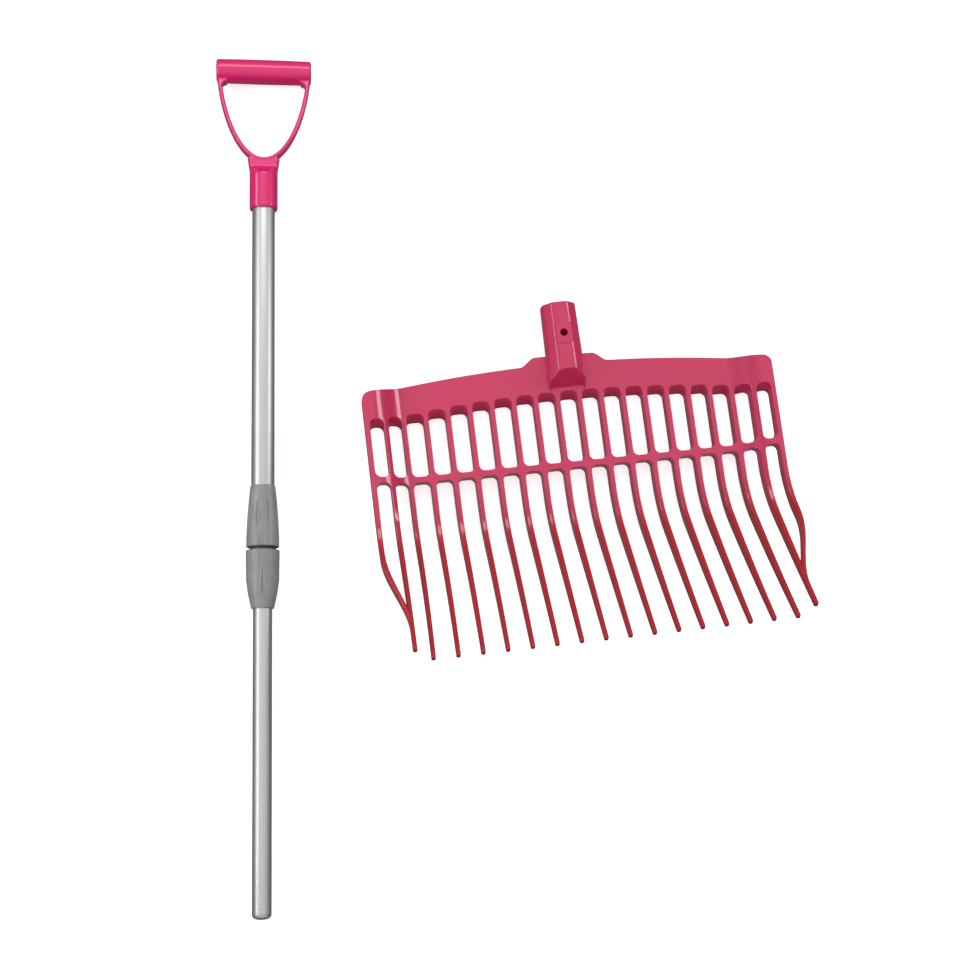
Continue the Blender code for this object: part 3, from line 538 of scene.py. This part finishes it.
def bow_line(share):
    """The bow's middle line, from the end of the hand bar to the middle of the neck."""
    back = 1 - share
    weights = (back**3, 3 * back**2 * share, 3 * back * share**2, share**3)
    return sum((pull * weight for pull, weight in zip(bow_pulls, weights)), Vector((0, 0)))


half_bow = []
nearby = 0.01
for step in range(BOW_STEPS + 1):
    share = step / BOW_STEPS
    run = bow_line(share + nearby) - bow_line(share - nearby)
    half_bow.append((bow_line(share), Vector((-run.y, run.x)).normalized()))
half = BOW_THICKNESS / 2
ridge = BOW_DEPTH / 2
edge = ridge * BOW_EDGE
flank = BOW_SLOPE[0]
slope = ridge * BOW_SLOPE[1]
bow_section = (
    (-BOW_RIDGE, -ridge), (BOW_RIDGE, -ridge), (flank, -slope), (1, -edge),
    (1, edge), (flank, slope), (BOW_RIDGE, ridge), (-BOW_RIDGE, ridge),
    (-flank, slope), (-1, edge), (-1, -edge), (-flank, -slope),
)
bow_rings = []
for side, stretch in ((-1, half_bow), (1, half_bow[-2::-1])):
    for here, out in stretch:
        bow_rings.append([
            (side * (here.x + out.x * wide * half), depth, here.y + out.y * wide * half)
            for wide, depth in bow_section
        ])
lofted(moulded, bow_rings)

web = WEB_DEPTH / 2
neck_sizes = [(SOCKET_FOOT + above, SOCKET_RADIUS - slimmer, SOCKET_RADIUS) for above, slimmer in NECK_RIM]
neck_sizes += [
    (SHOULDER, SOCKET_RADIUS, SOCKET_RADIUS),
    (SHOULDER + RAMP_LENGTH / 2, SOCKET_RADIUS, (SOCKET_RADIUS + web) / 2),
    (SHOULDER + RAMP_LENGTH, SOCKET_RADIUS * (1 - NECK_BLEND) + NECK_WIDTH / 2 * NECK_BLEND, web),
    (NECK_TOP - NECK_SHY, NECK_WIDTH / 2, web),
]
neck_rings = []
for height, half_width, clip in neck_sizes:
    ring = []
    for step in range(GRIP_SIDES):
        angle = math.tau * (step + 0.5) / GRIP_SIDES
        reach = half_width if height < SOCKET_TOP else SOCKET_RADIUS
        depth = max(-clip, min(clip, reach * math.sin(angle)))
        ring.append((half_width * math.cos(angle), depth, height))
    neck_rings.append(ring)
lofted(moulded, neck_rings)

inner = BAR_LENGTH / 2 - BOW_THICKNESS - BOW_INSET - FILLET_STANDS_IN
outer = inner + FILLET_SUNK
fillet_top = BAR_LEVEL - BAR_THICKNESS * FILLET_TOP + FILLET_SUNK
fillet_foot = fillet_top - CORNER_FILLET - FILLET_TAIL
for side in (-1, 1):
    rings = []
    for depth in (-FILLET_DEPTH / 2, FILLET_DEPTH / 2):
        ring = [(side * outer, depth, fillet_top), (side * outer, depth, fillet_foot)]
        for step in range(FILLET_STEPS + 1):
            angle = math.pi / 2 * step / FILLET_STEPS
            ring.append((
                side * (inner - CORNER_FILLET + CORNER_FILLET * math.cos(angle)),
                depth,
                fillet_foot + CORNER_FILLET * math.sin(angle),
            ))
        ring.append((side * (inner - CORNER_FILLET), depth, fillet_top))
        rings.append(ring)
    lofted(moulded, rings)

hand_grip = piece_from("hand_grip", moulded, pole)
melt = hand_grip.modifiers.new("melt", "REMESH")
melt.mode = "VOXEL"
melt.voxel_size = GRIP_VOXEL
settle = hand_grip.modifiers.new("settle", "SMOOTH")
settle.factor = 0.5
settle.iterations = 3
shaped(hand_grip)
hand_grip.data.shade_smooth()

BORE_SIDES = 96
BORE_MOUTH = ((0.0012, -0.0008), (0.0, 0.0004))
RIVET_ABOVE_FOOT = 0.0143
RIVET_HOLES = ((0.0020, 0.0080), (0.0036, 0.0136))
RIVET_CUT_END = 0.0200
HOLE_SIDES = 48


def circle(radius, sides):
    """Points round a circle, as pairs."""
    turns = [math.tau * side / sides for side in range(sides)]
    return [(radius * math.cos(turn), radius * math.sin(turn)) for turn in turns]


socket_bore = bmesh.new()
bore = OUTER_TUBE_RADIUS + SEAT_GAP
bore_rings = [(bore + wider, SOCKET_FOOT + above) for wider, above in BORE_MOUTH] + [(bore, SOCKET_TOP)]
lofted(socket_bore, [[(x, y, z) for x, y in circle(radius, BORE_SIDES)] for radius, z in bore_rings])
united(hand_grip, socket_bore, pole, "DIFFERENCE")

rivet_level = SOCKET_FOOT + RIVET_ABOVE_FOOT
for radius, foot in RIVET_HOLES:
    hole = bmesh.new()
    lofted(hole, [
        [(x, y, rivet_level + z) for x, z in circle(radius, HOLE_SIDES)]
        for y in (foot, RIVET_CUT_END)
    ])
    united(hand_grip, hole, pole, "DIFFERENCE")

pink_grip = Finish("pink_grip_plastic", Coat_Weight=0.4, Coat_Roughness=0.14)
tint = pink_grip.noise(22)
grain = pink_grip.noise(1500)
across_grip = pink_grip.node("SeparateXYZ", {}, {"Vector": pink_grip.place}, "X")
parting = pink_grip.steps(abs(across_grip) * 1000, (0.12, 1.0), (0.35, 0.0))
handled = pink_grip.steps(pink_grip.noise(45, (1, 1, 1), 8.0), (0.35, 0.0), (0.75, 1.0))
pink_grip.feed(
    Base_Color=pink_grip.mix(tint * 0.7 + parting * 0.3, (0.68, 0.007, 0.135), (0.78, 0.013, 0.175)),
    Roughness=tint * 0.05 + grain * 0.03 + handled * 0.05 + 0.15,
    Normal=pink_grip.bump(grain * 0.12 + parting * 1.5 + handled * 0.1, 0.00004, 0.5),
)
pink_grip.on(hand_grip)
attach(hand_grip, "handle")
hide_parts("grip")

plain_steel = Finish("rivet_steel", Metallic=1.0, Roughness=0.35)
plain_steel.feed(
    Base_Color=plain_steel.mix(plain_steel.noise(600), (0.42, 0.42, 0.43), (0.62, 0.62, 0.63)),
    Normal=plain_steel.bump(plain_steel.noise(1800), 0.00003, 0.5),
)
plain_steel.on(frame["nodes"]["grip_rivet"])

# Basket head: one glossy moulding of crimson plastic. A hollow-backed plate with raised wings, a field
# of bars down to a mid rail, and long tines that curve up off the floor, the two outer ones on each
# side running together. Its frame's zero is at the rail's upper edge on the floor, Y to the socket.
TINES = 20
BAR_PITCH = 0.02494
WING_PITCH = 0.0210
WING_BARS = 2
BAR_WIDTH = 0.0055
HEAD_DEPTH = 0.0160
RAIL = 0.0068
BARS_END = -0.0300
SLOT_LENGTH = 0.0806
SLOT_CORNER = 0.0060
WING_SLOT_CORNER = 0.0110
SLOT_SLOPE = 0.0075
PLATE_HEIGHT = 0.0320
PLATE_SKIN = 0.0040
PLATE_FLANGE = 0.0040
PLATE_CORNER = 0.0080
CROWN_RADIUS = 1.506
HUMP = 0.0095
HUMP_HALF = 0.0330
HUMP_FLANK = 0.0170
WING_RISE = 0.0230
WING_RAMP = 0.0400
WING_RIM = 0.0092
POCKET = 0.0480
POCKET_CUT_END = -0.0040
EASE = 0.0009
EASE_STEPS = 4
SECTION_GAP = 0.0200
SECTIONS_ASIDE = 12
HUMP_STEPS = 8
RAMP_STEPS = 40
CORNER_STEPS = 9
RIM_STEPS = 3
SMALLEST = 0.0001
HEAD_SOCKET_TOP = 0.1780

head_low, head_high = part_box("fork_head")
head = Matrix.Translation(((head_low.x + head_high.x) / 2, head_high.y - HEAD_SOCKET_TOP, 0))
last = TINES - 1
even_reach = (TINES - 2 * WING_BARS - 1) / 2


def bar_across(index):
    """Where a bar lies: evenly in the middle, closer on the wings."""
    count = index - last / 2
    inside = min(abs(count), even_reach)
    return math.copysign(inside * BAR_PITCH + (abs(count) - inside) * WING_PITCH, count)


half_head = bar_across(last) + BAR_WIDTH / 2
ramp_foot = half_head - WING_RIM - WING_RAMP


def eased(share):
    share = min(max(share, 0.0), 1.0)
    return share * share * (3 - 2 * share)


def lift(x):
    return WING_RISE * eased((abs(x) - ramp_foot) / WING_RAMP)


def slot_top(x):
    return SLOT_LENGTH - CROWN_RADIUS + math.sqrt(CROWN_RADIUS**2 - x * x)


def plate_top(x):
    hump = HUMP * (1 - eased((abs(x) - HUMP_HALF) / HUMP_FLANK))
    into = min(PLATE_CORNER, max(0.0, abs(x) - (half_head - PLATE_CORNER)))
    return slot_top(x) + PLATE_HEIGHT + hump - PLATE_CORNER + math.sqrt(PLATE_CORNER**2 - into**2)


def places(low, high):
    """Places across the head where its section is drawn, closest together where it bends."""
    marks = {low, high} | {SECTION_GAP * i for i in range(-SECTIONS_ASIDE, SECTIONS_ASIDE + 1)}
    corner_turns = [math.pi / 2 * i / CORNER_STEPS for i in range(CORNER_STEPS)]
    for side in (-1, 1):
        marks |= {side * (HUMP_HALF + HUMP_FLANK * i / HUMP_STEPS) for i in range(HUMP_STEPS + 1)}
        marks |= {side * (ramp_foot + WING_RAMP * i / RAMP_STEPS) for i in range(RAMP_STEPS + 1)}
        marks |= {side * (half_head - PLATE_CORNER * (1 - math.sin(turn))) for turn in corner_turns}
        marks |= {side * (half_head - EASE * i / RIM_STEPS) for i in range(RIM_STEPS + 1)}
    inside = sorted(x for x in marks if low <= x <= high)
    return [x for i, x in enumerate(inside) if i == 0 or x - inside[i - 1] > SMALLEST]


def quarter(steps):
    """Unit steps round a quarter circle, as (aside, ahead) pairs."""
    turns = [math.pi / 2 * i / steps for i in range(steps + 1)]
    return [(math.sin(turn), 1 - math.cos(turn)) for turn in turns]


plate_sections = []
round_edge = quarter(EASE_STEPS)
for x in places(-half_head, half_head):
    near_side = max(0.0, EASE - (half_head - abs(x)))
    inset = EASE - math.sqrt(max(0.0, EASE**2 - near_side**2))
    floor = lift(x) + inset
    front = HEAD_DEPTH + lift(x) - inset
    top = plate_top(x)
    section = [(x, BARS_END, front), (x, BARS_END, floor)]
    section += [(x, top - EASE * (1 - aside), floor + EASE * ahead) for aside, ahead in round_edge]
    section += [(x, top - EASE * (1 - aside), front - EASE * ahead) for aside, ahead in round_edge[::-1]]
    plate_sections.append(section)
moulded = bmesh.new()
lofted(moulded, plate_sections)
basket_head = piece_from("basket_head", moulded, head)


def outline(x_low, x_high, y_low, y_high, corners, steps=6):
    """A box's outline with round corners: radii at high right, high left, low left and low right."""
    most = min(x_high - x_low, y_high - y_low) / 2 - SMALLEST
    turns = ((x_high, y_high, 0), (x_low, y_high, 90), (x_low, y_low, 180), (x_high, y_low, 270))
    path = []
    for (x, y, start), radius in zip(turns, corners):
        radius = min(radius, most)
        mid_x = x - math.copysign(radius, x - (x_low + x_high) / 2)
        mid_y = y - math.copysign(radius, y - (y_low + y_high) / 2)
        for step in range(steps + 1):
            angle = math.radians(start + 90 * step / steps)
            path.append((mid_x + radius * math.cos(angle), mid_y + radius * math.sin(angle)))
    return path


CUTTER_PROUD = 0.0060
FLARE_PROUD = 0.0010
FLARE_WIDER = 0.0012
PAST_BARS = 0.0200
PLAIN_CORNER = 0.0010
widest = EASE + FLARE_WIDER
rim_flare = [(-CUTTER_PROUD, widest), (-FLARE_PROUD, widest), (0.0, EASE)]
rim_flare += [(EASE * ahead, EASE * (1 - aside)) for aside, ahead in quarter(RIM_STEPS)[1:]]
deeps = rim_flare + [(HEAD_DEPTH - deep, flare) for deep, flare in rim_flare[::-1]]


def opening(left, right, low, high, slope, corners):
    """A slot's cutter, whose rims flare out in a small radius at the front and the back."""
    rings = []
    for deep, flare in deeps:
        top = high - slope * deep / HEAD_DEPTH
        radii = [radius + flare for radius in corners]
        path = outline(left - flare, right + flare, low - flare, top + flare, radii)
        rings.append([(x, y, HEAD_DEPTH + lift(x) - deep) for x, y in path])
    return rings


slots = bmesh.new()
for index in range(last):
    left = bar_across(index) + BAR_WIDTH / 2
    right = bar_across(index + 1) - BAR_WIDTH / 2
    middle = (left + right) / 2
    radii = [SLOT_CORNER] * 4
    if index == 0:
        radii[2] = WING_SLOT_CORNER
    if index == last - 1:
        radii[3] = WING_SLOT_CORNER
    lofted(slots, opening(left, right, 0, slot_top(middle), SLOT_SLOPE, radii))
    radii = [SLOT_CORNER, SLOT_CORNER, PLAIN_CORNER, PLAIN_CORNER]
    lofted(slots, opening(left, right, BARS_END - PAST_BARS, -RAIL, 0, radii))
united(basket_head, slots, head, "DIFFERENCE")

SOCKET_WIDTH = 0.0385
pockets = bmesh.new()
edge = SOCKET_WIDTH / 2 + PLATE_FLANGE
while edge + POCKET / 2 < half_head - PLATE_FLANGE:
    end = edge + POCKET
    if half_head - PLATE_FLANGE - end < POCKET / 2:
        end = half_head - PLATE_FLANGE
    for low, high in ((edge, end), (-end, -edge)):
        lofted(pockets, [
            [
                (x, slot_top(x) + PLATE_FLANGE, POCKET_CUT_END),
                (x, plate_top(x) - PLATE_FLANGE, POCKET_CUT_END),
                (x, plate_top(x) - PLATE_FLANGE, HEAD_DEPTH - PLATE_SKIN + lift(x)),
                (x, slot_top(x) + PLATE_FLANGE, HEAD_DEPTH - PLATE_SKIN + lift(x)),
            ]
            for x in places(low, high)
        ])
    edge = end + PLATE_FLANGE
united(basket_head, pockets, head, "DIFFERENCE")

TINE_LENGTH = 0.1998
WING_TINE_LENGTH = 0.1878
BEND_BELOW_BARS = 0.0027
BEND_RUN = 0.0495
BEND = math.radians(33.5)
BEND_STEPS = 8
STRAIGHT_STEPS = 14
TIP_DEPTH = 0.0064
TIP_WIDTH = 0.0048
TIP_PITCH = 0.0259
SPLAY_AT_ROOT = 0.28
WING_LEAN = 0.0030
OUTER_TURN = 0.0580
OUTER_JOIN = 0.1630
OUTER_SLIMMER = 0.0006
TIP_EASE = 0.0010
TIP_SHRINK = 0.7
EDGE_GROWTH = 0.5
ROOT = -0.0080
SEAM = 0.00003

bend_start = BARS_END - BEND_BELOW_BARS
bend_radius = BEND_RUN / BEND


def tine_side(count, run):
    """Distance across the head at a run past the bend's start."""
    share = max(0.0, run) / TINE_LENGTH
    lean = math.copysign(WING_LEAN, count) * share**2 if abs(count) > even_reach else 0.0
    splay = count * (TIP_PITCH - BAR_PITCH) * (SPLAY_AT_ROOT * share + (1 - SPLAY_AT_ROOT) * share**2)
    return bar_across(count + last / 2) + splay - lean


def tine_ring(run, side, raised, width, depth, sunk, shrink):
    """A round-cornered section, slanted like its bar at first and then square to the tine."""
    bent = min(max(run / BEND_RUN, 0.0), 1.0)
    angle = BEND * bent
    straight = max(0.0, run - BEND_RUN)
    y = bend_start - min(run, 0.0) - bend_radius * math.sin(angle) - straight * math.cos(angle)
    z = HEAD_DEPTH + bend_radius * (1 - math.cos(angle)) + straight * math.sin(angle)
    radii = [EASE * (1 + EDGE_GROWTH * max(0.0, run) / TINE_LENGTH)] * 4
    half = width / 2 - shrink
    ring = []
    for aside, down in outline(-half, half, sunk + shrink, sunk + depth - shrink, radii, steps=3):
        slanted = lift(side + aside) * (1 - bent) + raised * bent
        ring.append((side + aside, y - math.sin(angle) * down, z + slanted - math.cos(angle) * down))
    return ring


tines = bmesh.new()
outer_tines = bmesh.new()
for index in range(TINES):
    count = index - last / 2
    wing = index in (1, last - 1)
    outermost = index in (0, last)
    length = OUTER_JOIN if outermost else WING_TINE_LENGTH if wing else TINE_LENGTH
    straight = length - TIP_EASE - BEND_RUN
    runs = [ROOT] + [BEND_RUN * step / BEND_STEPS for step in range(BEND_STEPS)]
    runs += [BEND_RUN + straight * step / STRAIGHT_STEPS for step in range(STRAIGHT_STEPS + 1)]
    rings = []
    for run in runs + [length]:
        share = max(0.0, run) / TINE_LENGTH
        width = BAR_WIDTH - 2 * SEAM + (TIP_WIDTH - BAR_WIDTH) * share
        depth = HEAD_DEPTH - 2 * SEAM + (TIP_DEPTH - HEAD_DEPTH) * share
        side = tine_side(count, run)
        raised = lift(bar_across(index))
        sunk = SEAM
        if outermost:
            inwards = eased((run - OUTER_TURN) / (OUTER_JOIN - OUTER_TURN))
            step_in = math.copysign(1, count)
            side += (tine_side(count - step_in, run) - side) * inwards
            raised += (lift(bar_across(index - int(step_in))) - raised) * inwards
            width -= OUTER_SLIMMER * inwards
            depth -= OUTER_SLIMMER * inwards
            sunk += OUTER_SLIMMER / 2 * inwards
        shrink = TIP_EASE * TIP_SHRINK if run == length else 0.0
        rings.append(tine_ring(run, side, raised, width, depth, sunk, shrink))
    lofted(outer_tines if outermost else tines, rings)
united(basket_head, tines, head, "UNION")
united(basket_head, outer_tines, head, "UNION")

# The head's socket: an eight-sided tube moulded into the plate, closed and slanting at its lower end.
# A pad round the empty screw hole stands just proud of its front, and its open end is cored between
# six ribs. It takes the pole's bare end.
SOCKET_FACES = 8
SOCKET_LENGTH = 0.0966
SOCKET_LIFT = 0.0004
SOCKET_SLANT = 0.0195
SOCKET_EASE = 0.0036
SOCKET_EASE_STEPS = 5
SOCKET_SPREAD = 1.07
FOOT_RIM = ((0.0, 0.955), (0.0004, 0.985), (0.0012, 1.0))
TOP_RIM = ((0.0014, 1.0), (0.0005, 0.985), (0.0, 0.95))
HEAD_BORE_DEPTH = 0.0750
HEAD_BORE_MOUTH = ((0.0, -0.0009), (0.0003, -0.0003), (0.0012, 0.0005))
HOLE_RADIUS = 0.0041
HOLE_BELOW_TOP = 0.0360
HOLE_MOUTH = ((0.0, -0.0006), (0.0002, -0.0002), (0.0008, 0.0002))
PAD_WIDTH = 0.0180
PAD_LENGTH = 0.0242
PAD_RISE = 0.0009
PAD_ROOT = -0.0040
PAD_CORNER = 0.0018
PAD_RIM = ((0.0003, 0.0), (0.0001, 0.0001), (0.0, 0.0004))
CORE_RADII = (0.0133, 0.0163)
CORE_DEPTH = 0.0270
CORE_CUT_PROUD = 0.0050
CORE_SHARE = 0.80
CORE_STEPS = 8
CORES = 6

socket_foot = HEAD_SOCKET_TOP - SOCKET_LENGTH
flat = SOCKET_WIDTH / 2
level = flat + SOCKET_LIFT
eighth = math.pi / SOCKET_FACES
edge_round = SOCKET_EASE / math.tan(eighth)
edge_middle = (flat - edge_round) / math.cos(eighth)
octagon = []
for side in range(SOCKET_FACES):
    corner = 2 * eighth * side + eighth
    for step in range(SOCKET_EASE_STEPS + 1):
        angle = corner + eighth * (2 * step / SOCKET_EASE_STEPS - 1)
        octagon.append((
            edge_middle * math.sin(corner) + edge_round * math.sin(angle),
            edge_middle * math.cos(corner) + edge_round * math.cos(angle),
        ))


def slant(z):
    return socket_foot + SOCKET_SLANT * max(0.0, z - HEAD_DEPTH) / (SOCKET_WIDTH - HEAD_DEPTH)


socket_rings = []
for back, shrink in FOOT_RIM:
    spread = shrink * SOCKET_SPREAD
    ring = [(x * spread, level + z * shrink) for x, z in octagon]
    socket_rings.append([(x, slant(z) + back, z) for x, z in ring])
for back, shrink in TOP_RIM:
    socket_rings.append([(x * shrink, HEAD_SOCKET_TOP - back, level + z * shrink) for x, z in octagon])
socket_body = bmesh.new()
lofted(socket_body, socket_rings)
united(basket_head, socket_body, head, "UNION")

hole_y = HEAD_SOCKET_TOP - HOLE_BELOW_TOP
pad_rings = []
for rise, inset in [(PAD_ROOT, 0.0)] + [(PAD_RISE - below, inset) for below, inset in PAD_RIM]:
    half = PAD_WIDTH / 2 - inset
    foot = hole_y - PAD_LENGTH / 2 + inset
    top = hole_y + PAD_LENGTH / 2 - inset
    path = outline(-half, half, foot, top, [PAD_CORNER] * 4)
    pad_rings.append([(x, y, level + flat + rise) for x, y in path])
pad_body = bmesh.new()
lofted(pad_body, pad_rings)
united(basket_head, pad_body, head, "UNION")

head_bore = INNER_TUBE_RADIUS + SEAT_GAP
bored = bmesh.new()
lofted(bored, [
    [(x, HEAD_SOCKET_TOP + y, level + z) for x, z in circle(head_bore + wider, BORE_SIDES)]
    for wider, y in ((0.0, -HEAD_BORE_DEPTH), *HEAD_BORE_MOUTH)
])
for index in range(CORES):
    shares = [index + 0.5 + CORE_SHARE * (step / CORE_STEPS - 0.5) for step in range(CORE_STEPS + 1)]
    arc = [math.tau / CORES * share for share in shares]
    rings = []
    for y in (HEAD_SOCKET_TOP - CORE_DEPTH, HEAD_SOCKET_TOP + CORE_CUT_PROUD):
        ring = []
        for radius, order in zip(CORE_RADII, (1, -1)):
            ring += [(radius * math.cos(turn), y, level + radius * math.sin(turn)) for turn in arc[::order]]
        rings.append(ring)
    lofted(bored, rings)
united(basket_head, bored, head, "DIFFERENCE")

screw_hole = bmesh.new()
hole_front = level + flat + PAD_RISE
hole_rings = [(0.0, level)] + [(wider, hole_front + above) for wider, above in HOLE_MOUTH]
lofted(screw_hole, [
    [(x, hole_y + y, z) for x, y in circle(HOLE_RADIUS + wider, HOLE_SIDES)]
    for wider, z in hole_rings
])
united(basket_head, screw_hole, head, "DIFFERENCE")

basket_head.data.shade_smooth()
basket_head.data.set_sharp_from_angle(angle=SHARP_EDGE)
even_light = basket_head.modifiers.new("even_light", "WEIGHTED_NORMAL")
even_light.keep_sharp = True

crimson = Finish("crimson_head_plastic", Coat_Weight=0.35, Coat_Roughness=0.08)
along_head = crimson.node("SeparateXYZ", {}, {"Vector": crimson.place}, "Y")
# Painted sheen: the plate end of the moulding is coloured pinker than the tines, standing in for the light
# the flat plate reflects.
painted_plate_sheen = crimson.steps(along_head * 4.0 + 0.5, (0.16, 0.0), (0.42, 1.0))
flow = crimson.noise(16, (1, 0.35, 1), 6.0)
swirl = crimson.noise(60, (1, 0.5, 1), 8.0)
grain = crimson.noise(1200)
scuffs = crimson.steps(crimson.noise(160, (1, 0.15, 1), 6.0), (0.58, 0.0), (0.70, 1.0))
deep_colour = crimson.mix(flow, (0.40, 0.005, 0.014), (0.49, 0.009, 0.022))
sheened_plate_colour = crimson.mix(flow, (0.56, 0.020, 0.090), (0.62, 0.028, 0.112))
crimson.feed(
    Base_Color=crimson.mix(painted_plate_sheen, deep_colour, sheened_plate_colour),
    Roughness=swirl * 0.05 + scuffs * 0.03 + 0.13,
    Normal=crimson.bump(grain * 0.3 + scuffs * 0.1, 0.00003, 0.35),
)
crimson.on(basket_head)
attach(basket_head, "head")
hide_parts("fork_head")

# Floor: a plain pale sheet under both pieces, wide enough to fill the view. It glows a little to look
# white, and neither lights the fork nor shows in its gloss.
FLOOR_SIZE = 8.0
FLOOR_GRID = 8
floor_built = bmesh.new()
bmesh.ops.create_grid(floor_built, x_segments=FLOOR_GRID, y_segments=FLOOR_GRID, size=FLOOR_SIZE / 2)
studio_floor = piece_from("studio_floor", floor_built, Matrix.Identity(4))
pale = Finish("pale_floor", Roughness=0.75, Emission_Color=(1.0, 1.0, 1.0, 1.0), Emission_Strength=0.6)
pale.feed(
    Base_Color=pale.mix(pale.noise(3), (0.86, 0.86, 0.86), (0.90, 0.90, 0.90)),
    Normal=pale.bump(pale.noise(120), 0.0002, 0.2),
)
pale.on(studio_floor)
studio_floor.visible_diffuse = False
studio_floor.visible_glossy = False

# Camera and lamps: the view is almost straight down on a point between the two pieces, measured from
# the collar's rim. Three soft lamps stand on the right, low on the left beside the pole and beyond the
# grip, in a plain room that grows lighter overhead.
VIEW_DISTANCE = 1.888
VIEW_ELEVATION = math.radians(77.68)
VIEW_BEARING = math.radians(-125.22)
VIEW_ROLL = math.radians(1.2)
RIM_TO_MIDDLE = (0.2499, 0.0660)
SENSOR = 36.0
LENS = 62.45
ROOM_STRENGTH = 0.95
ROOM_SHADES = ((0.0, 0.16), (1.0, 1.0))

flat_along = Vector((along.x, along.y, 0)).normalized()
rim_on_floor = Vector((collar_rim.x, collar_rim.y, 0))
middle = rim_on_floor + across * RIM_TO_MIDDLE[0] + flat_along * RIM_TO_MIDDLE[1]


def in_room(right, forward, up):
    return across * right + flat_along * forward + Vector((0, 0, up))


back = in_room(
    math.cos(VIEW_ELEVATION) * math.cos(VIEW_BEARING),
    math.cos(VIEW_ELEVATION) * math.sin(VIEW_BEARING),
    math.sin(VIEW_ELEVATION),
)
upright = in_room(math.sin(VIEW_ROLL), math.cos(VIEW_ROLL), 0)
right = upright.cross(back).normalized()
lens = bpy.data.cameras.new("camera")
lens.sensor_width = SENSOR
lens.lens = LENS
camera = bpy.data.objects.new("camera", lens)
bpy.context.scene.collection.objects.link(camera)
facing = Matrix((right, back.cross(right), back)).transposed().to_4x4()
camera.matrix_world = Matrix.Translation(middle + back * VIEW_DISTANCE) @ facing
bpy.context.scene.camera = camera


def softbox(name, where, size, watts):
    light = bpy.data.lights.new(name, "AREA")
    light.shape = "RECTANGLE"
    light.size, light.size_y = size
    light.energy = watts
    lamp = bpy.data.objects.new(name, light)
    bpy.context.scene.collection.objects.link(lamp)
    spot = middle + in_room(*where)
    aim = (spot - middle).to_track_quat("Z", "Y").to_matrix().to_4x4()
    lamp.matrix_world = Matrix.Translation(spot) @ aim


softbox("right_softbox", (1.4, 0.55, 0.72), (0.6, 0.5), 5)
softbox("left_softbox", (-0.86, 0.0, 0.4), (1.4, 0.16), 3)
softbox("back_softbox", (-0.2, 1.0, 0.95), (0.8, 0.35), 3)

room = bpy.data.worlds.new("room")
room.use_nodes = True
background = room.node_tree.nodes["Background"]
background.inputs["Strength"].default_value = ROOM_STRENGTH
direction = room.node_tree.nodes.new("ShaderNodeTexCoord")
upwards = room.node_tree.nodes.new("ShaderNodeSeparateXYZ")
brightness = room.node_tree.nodes.new("ShaderNodeValToRGB")
for stop, (position, shade) in zip(brightness.color_ramp.elements, ROOM_SHADES):
    stop.position = position
    stop.color = (shade, shade, shade, 1.0)
room.node_tree.links.new(direction.outputs["Generated"], upwards.inputs["Vector"])
room.node_tree.links.new(upwards.outputs["Z"], brightness.inputs["Fac"])
room.node_tree.links.new(brightness.outputs["Color"], background.inputs["Color"])
bpy.context.scene.world = room
bpy.context.scene.view_settings.view_transform = "Standard"
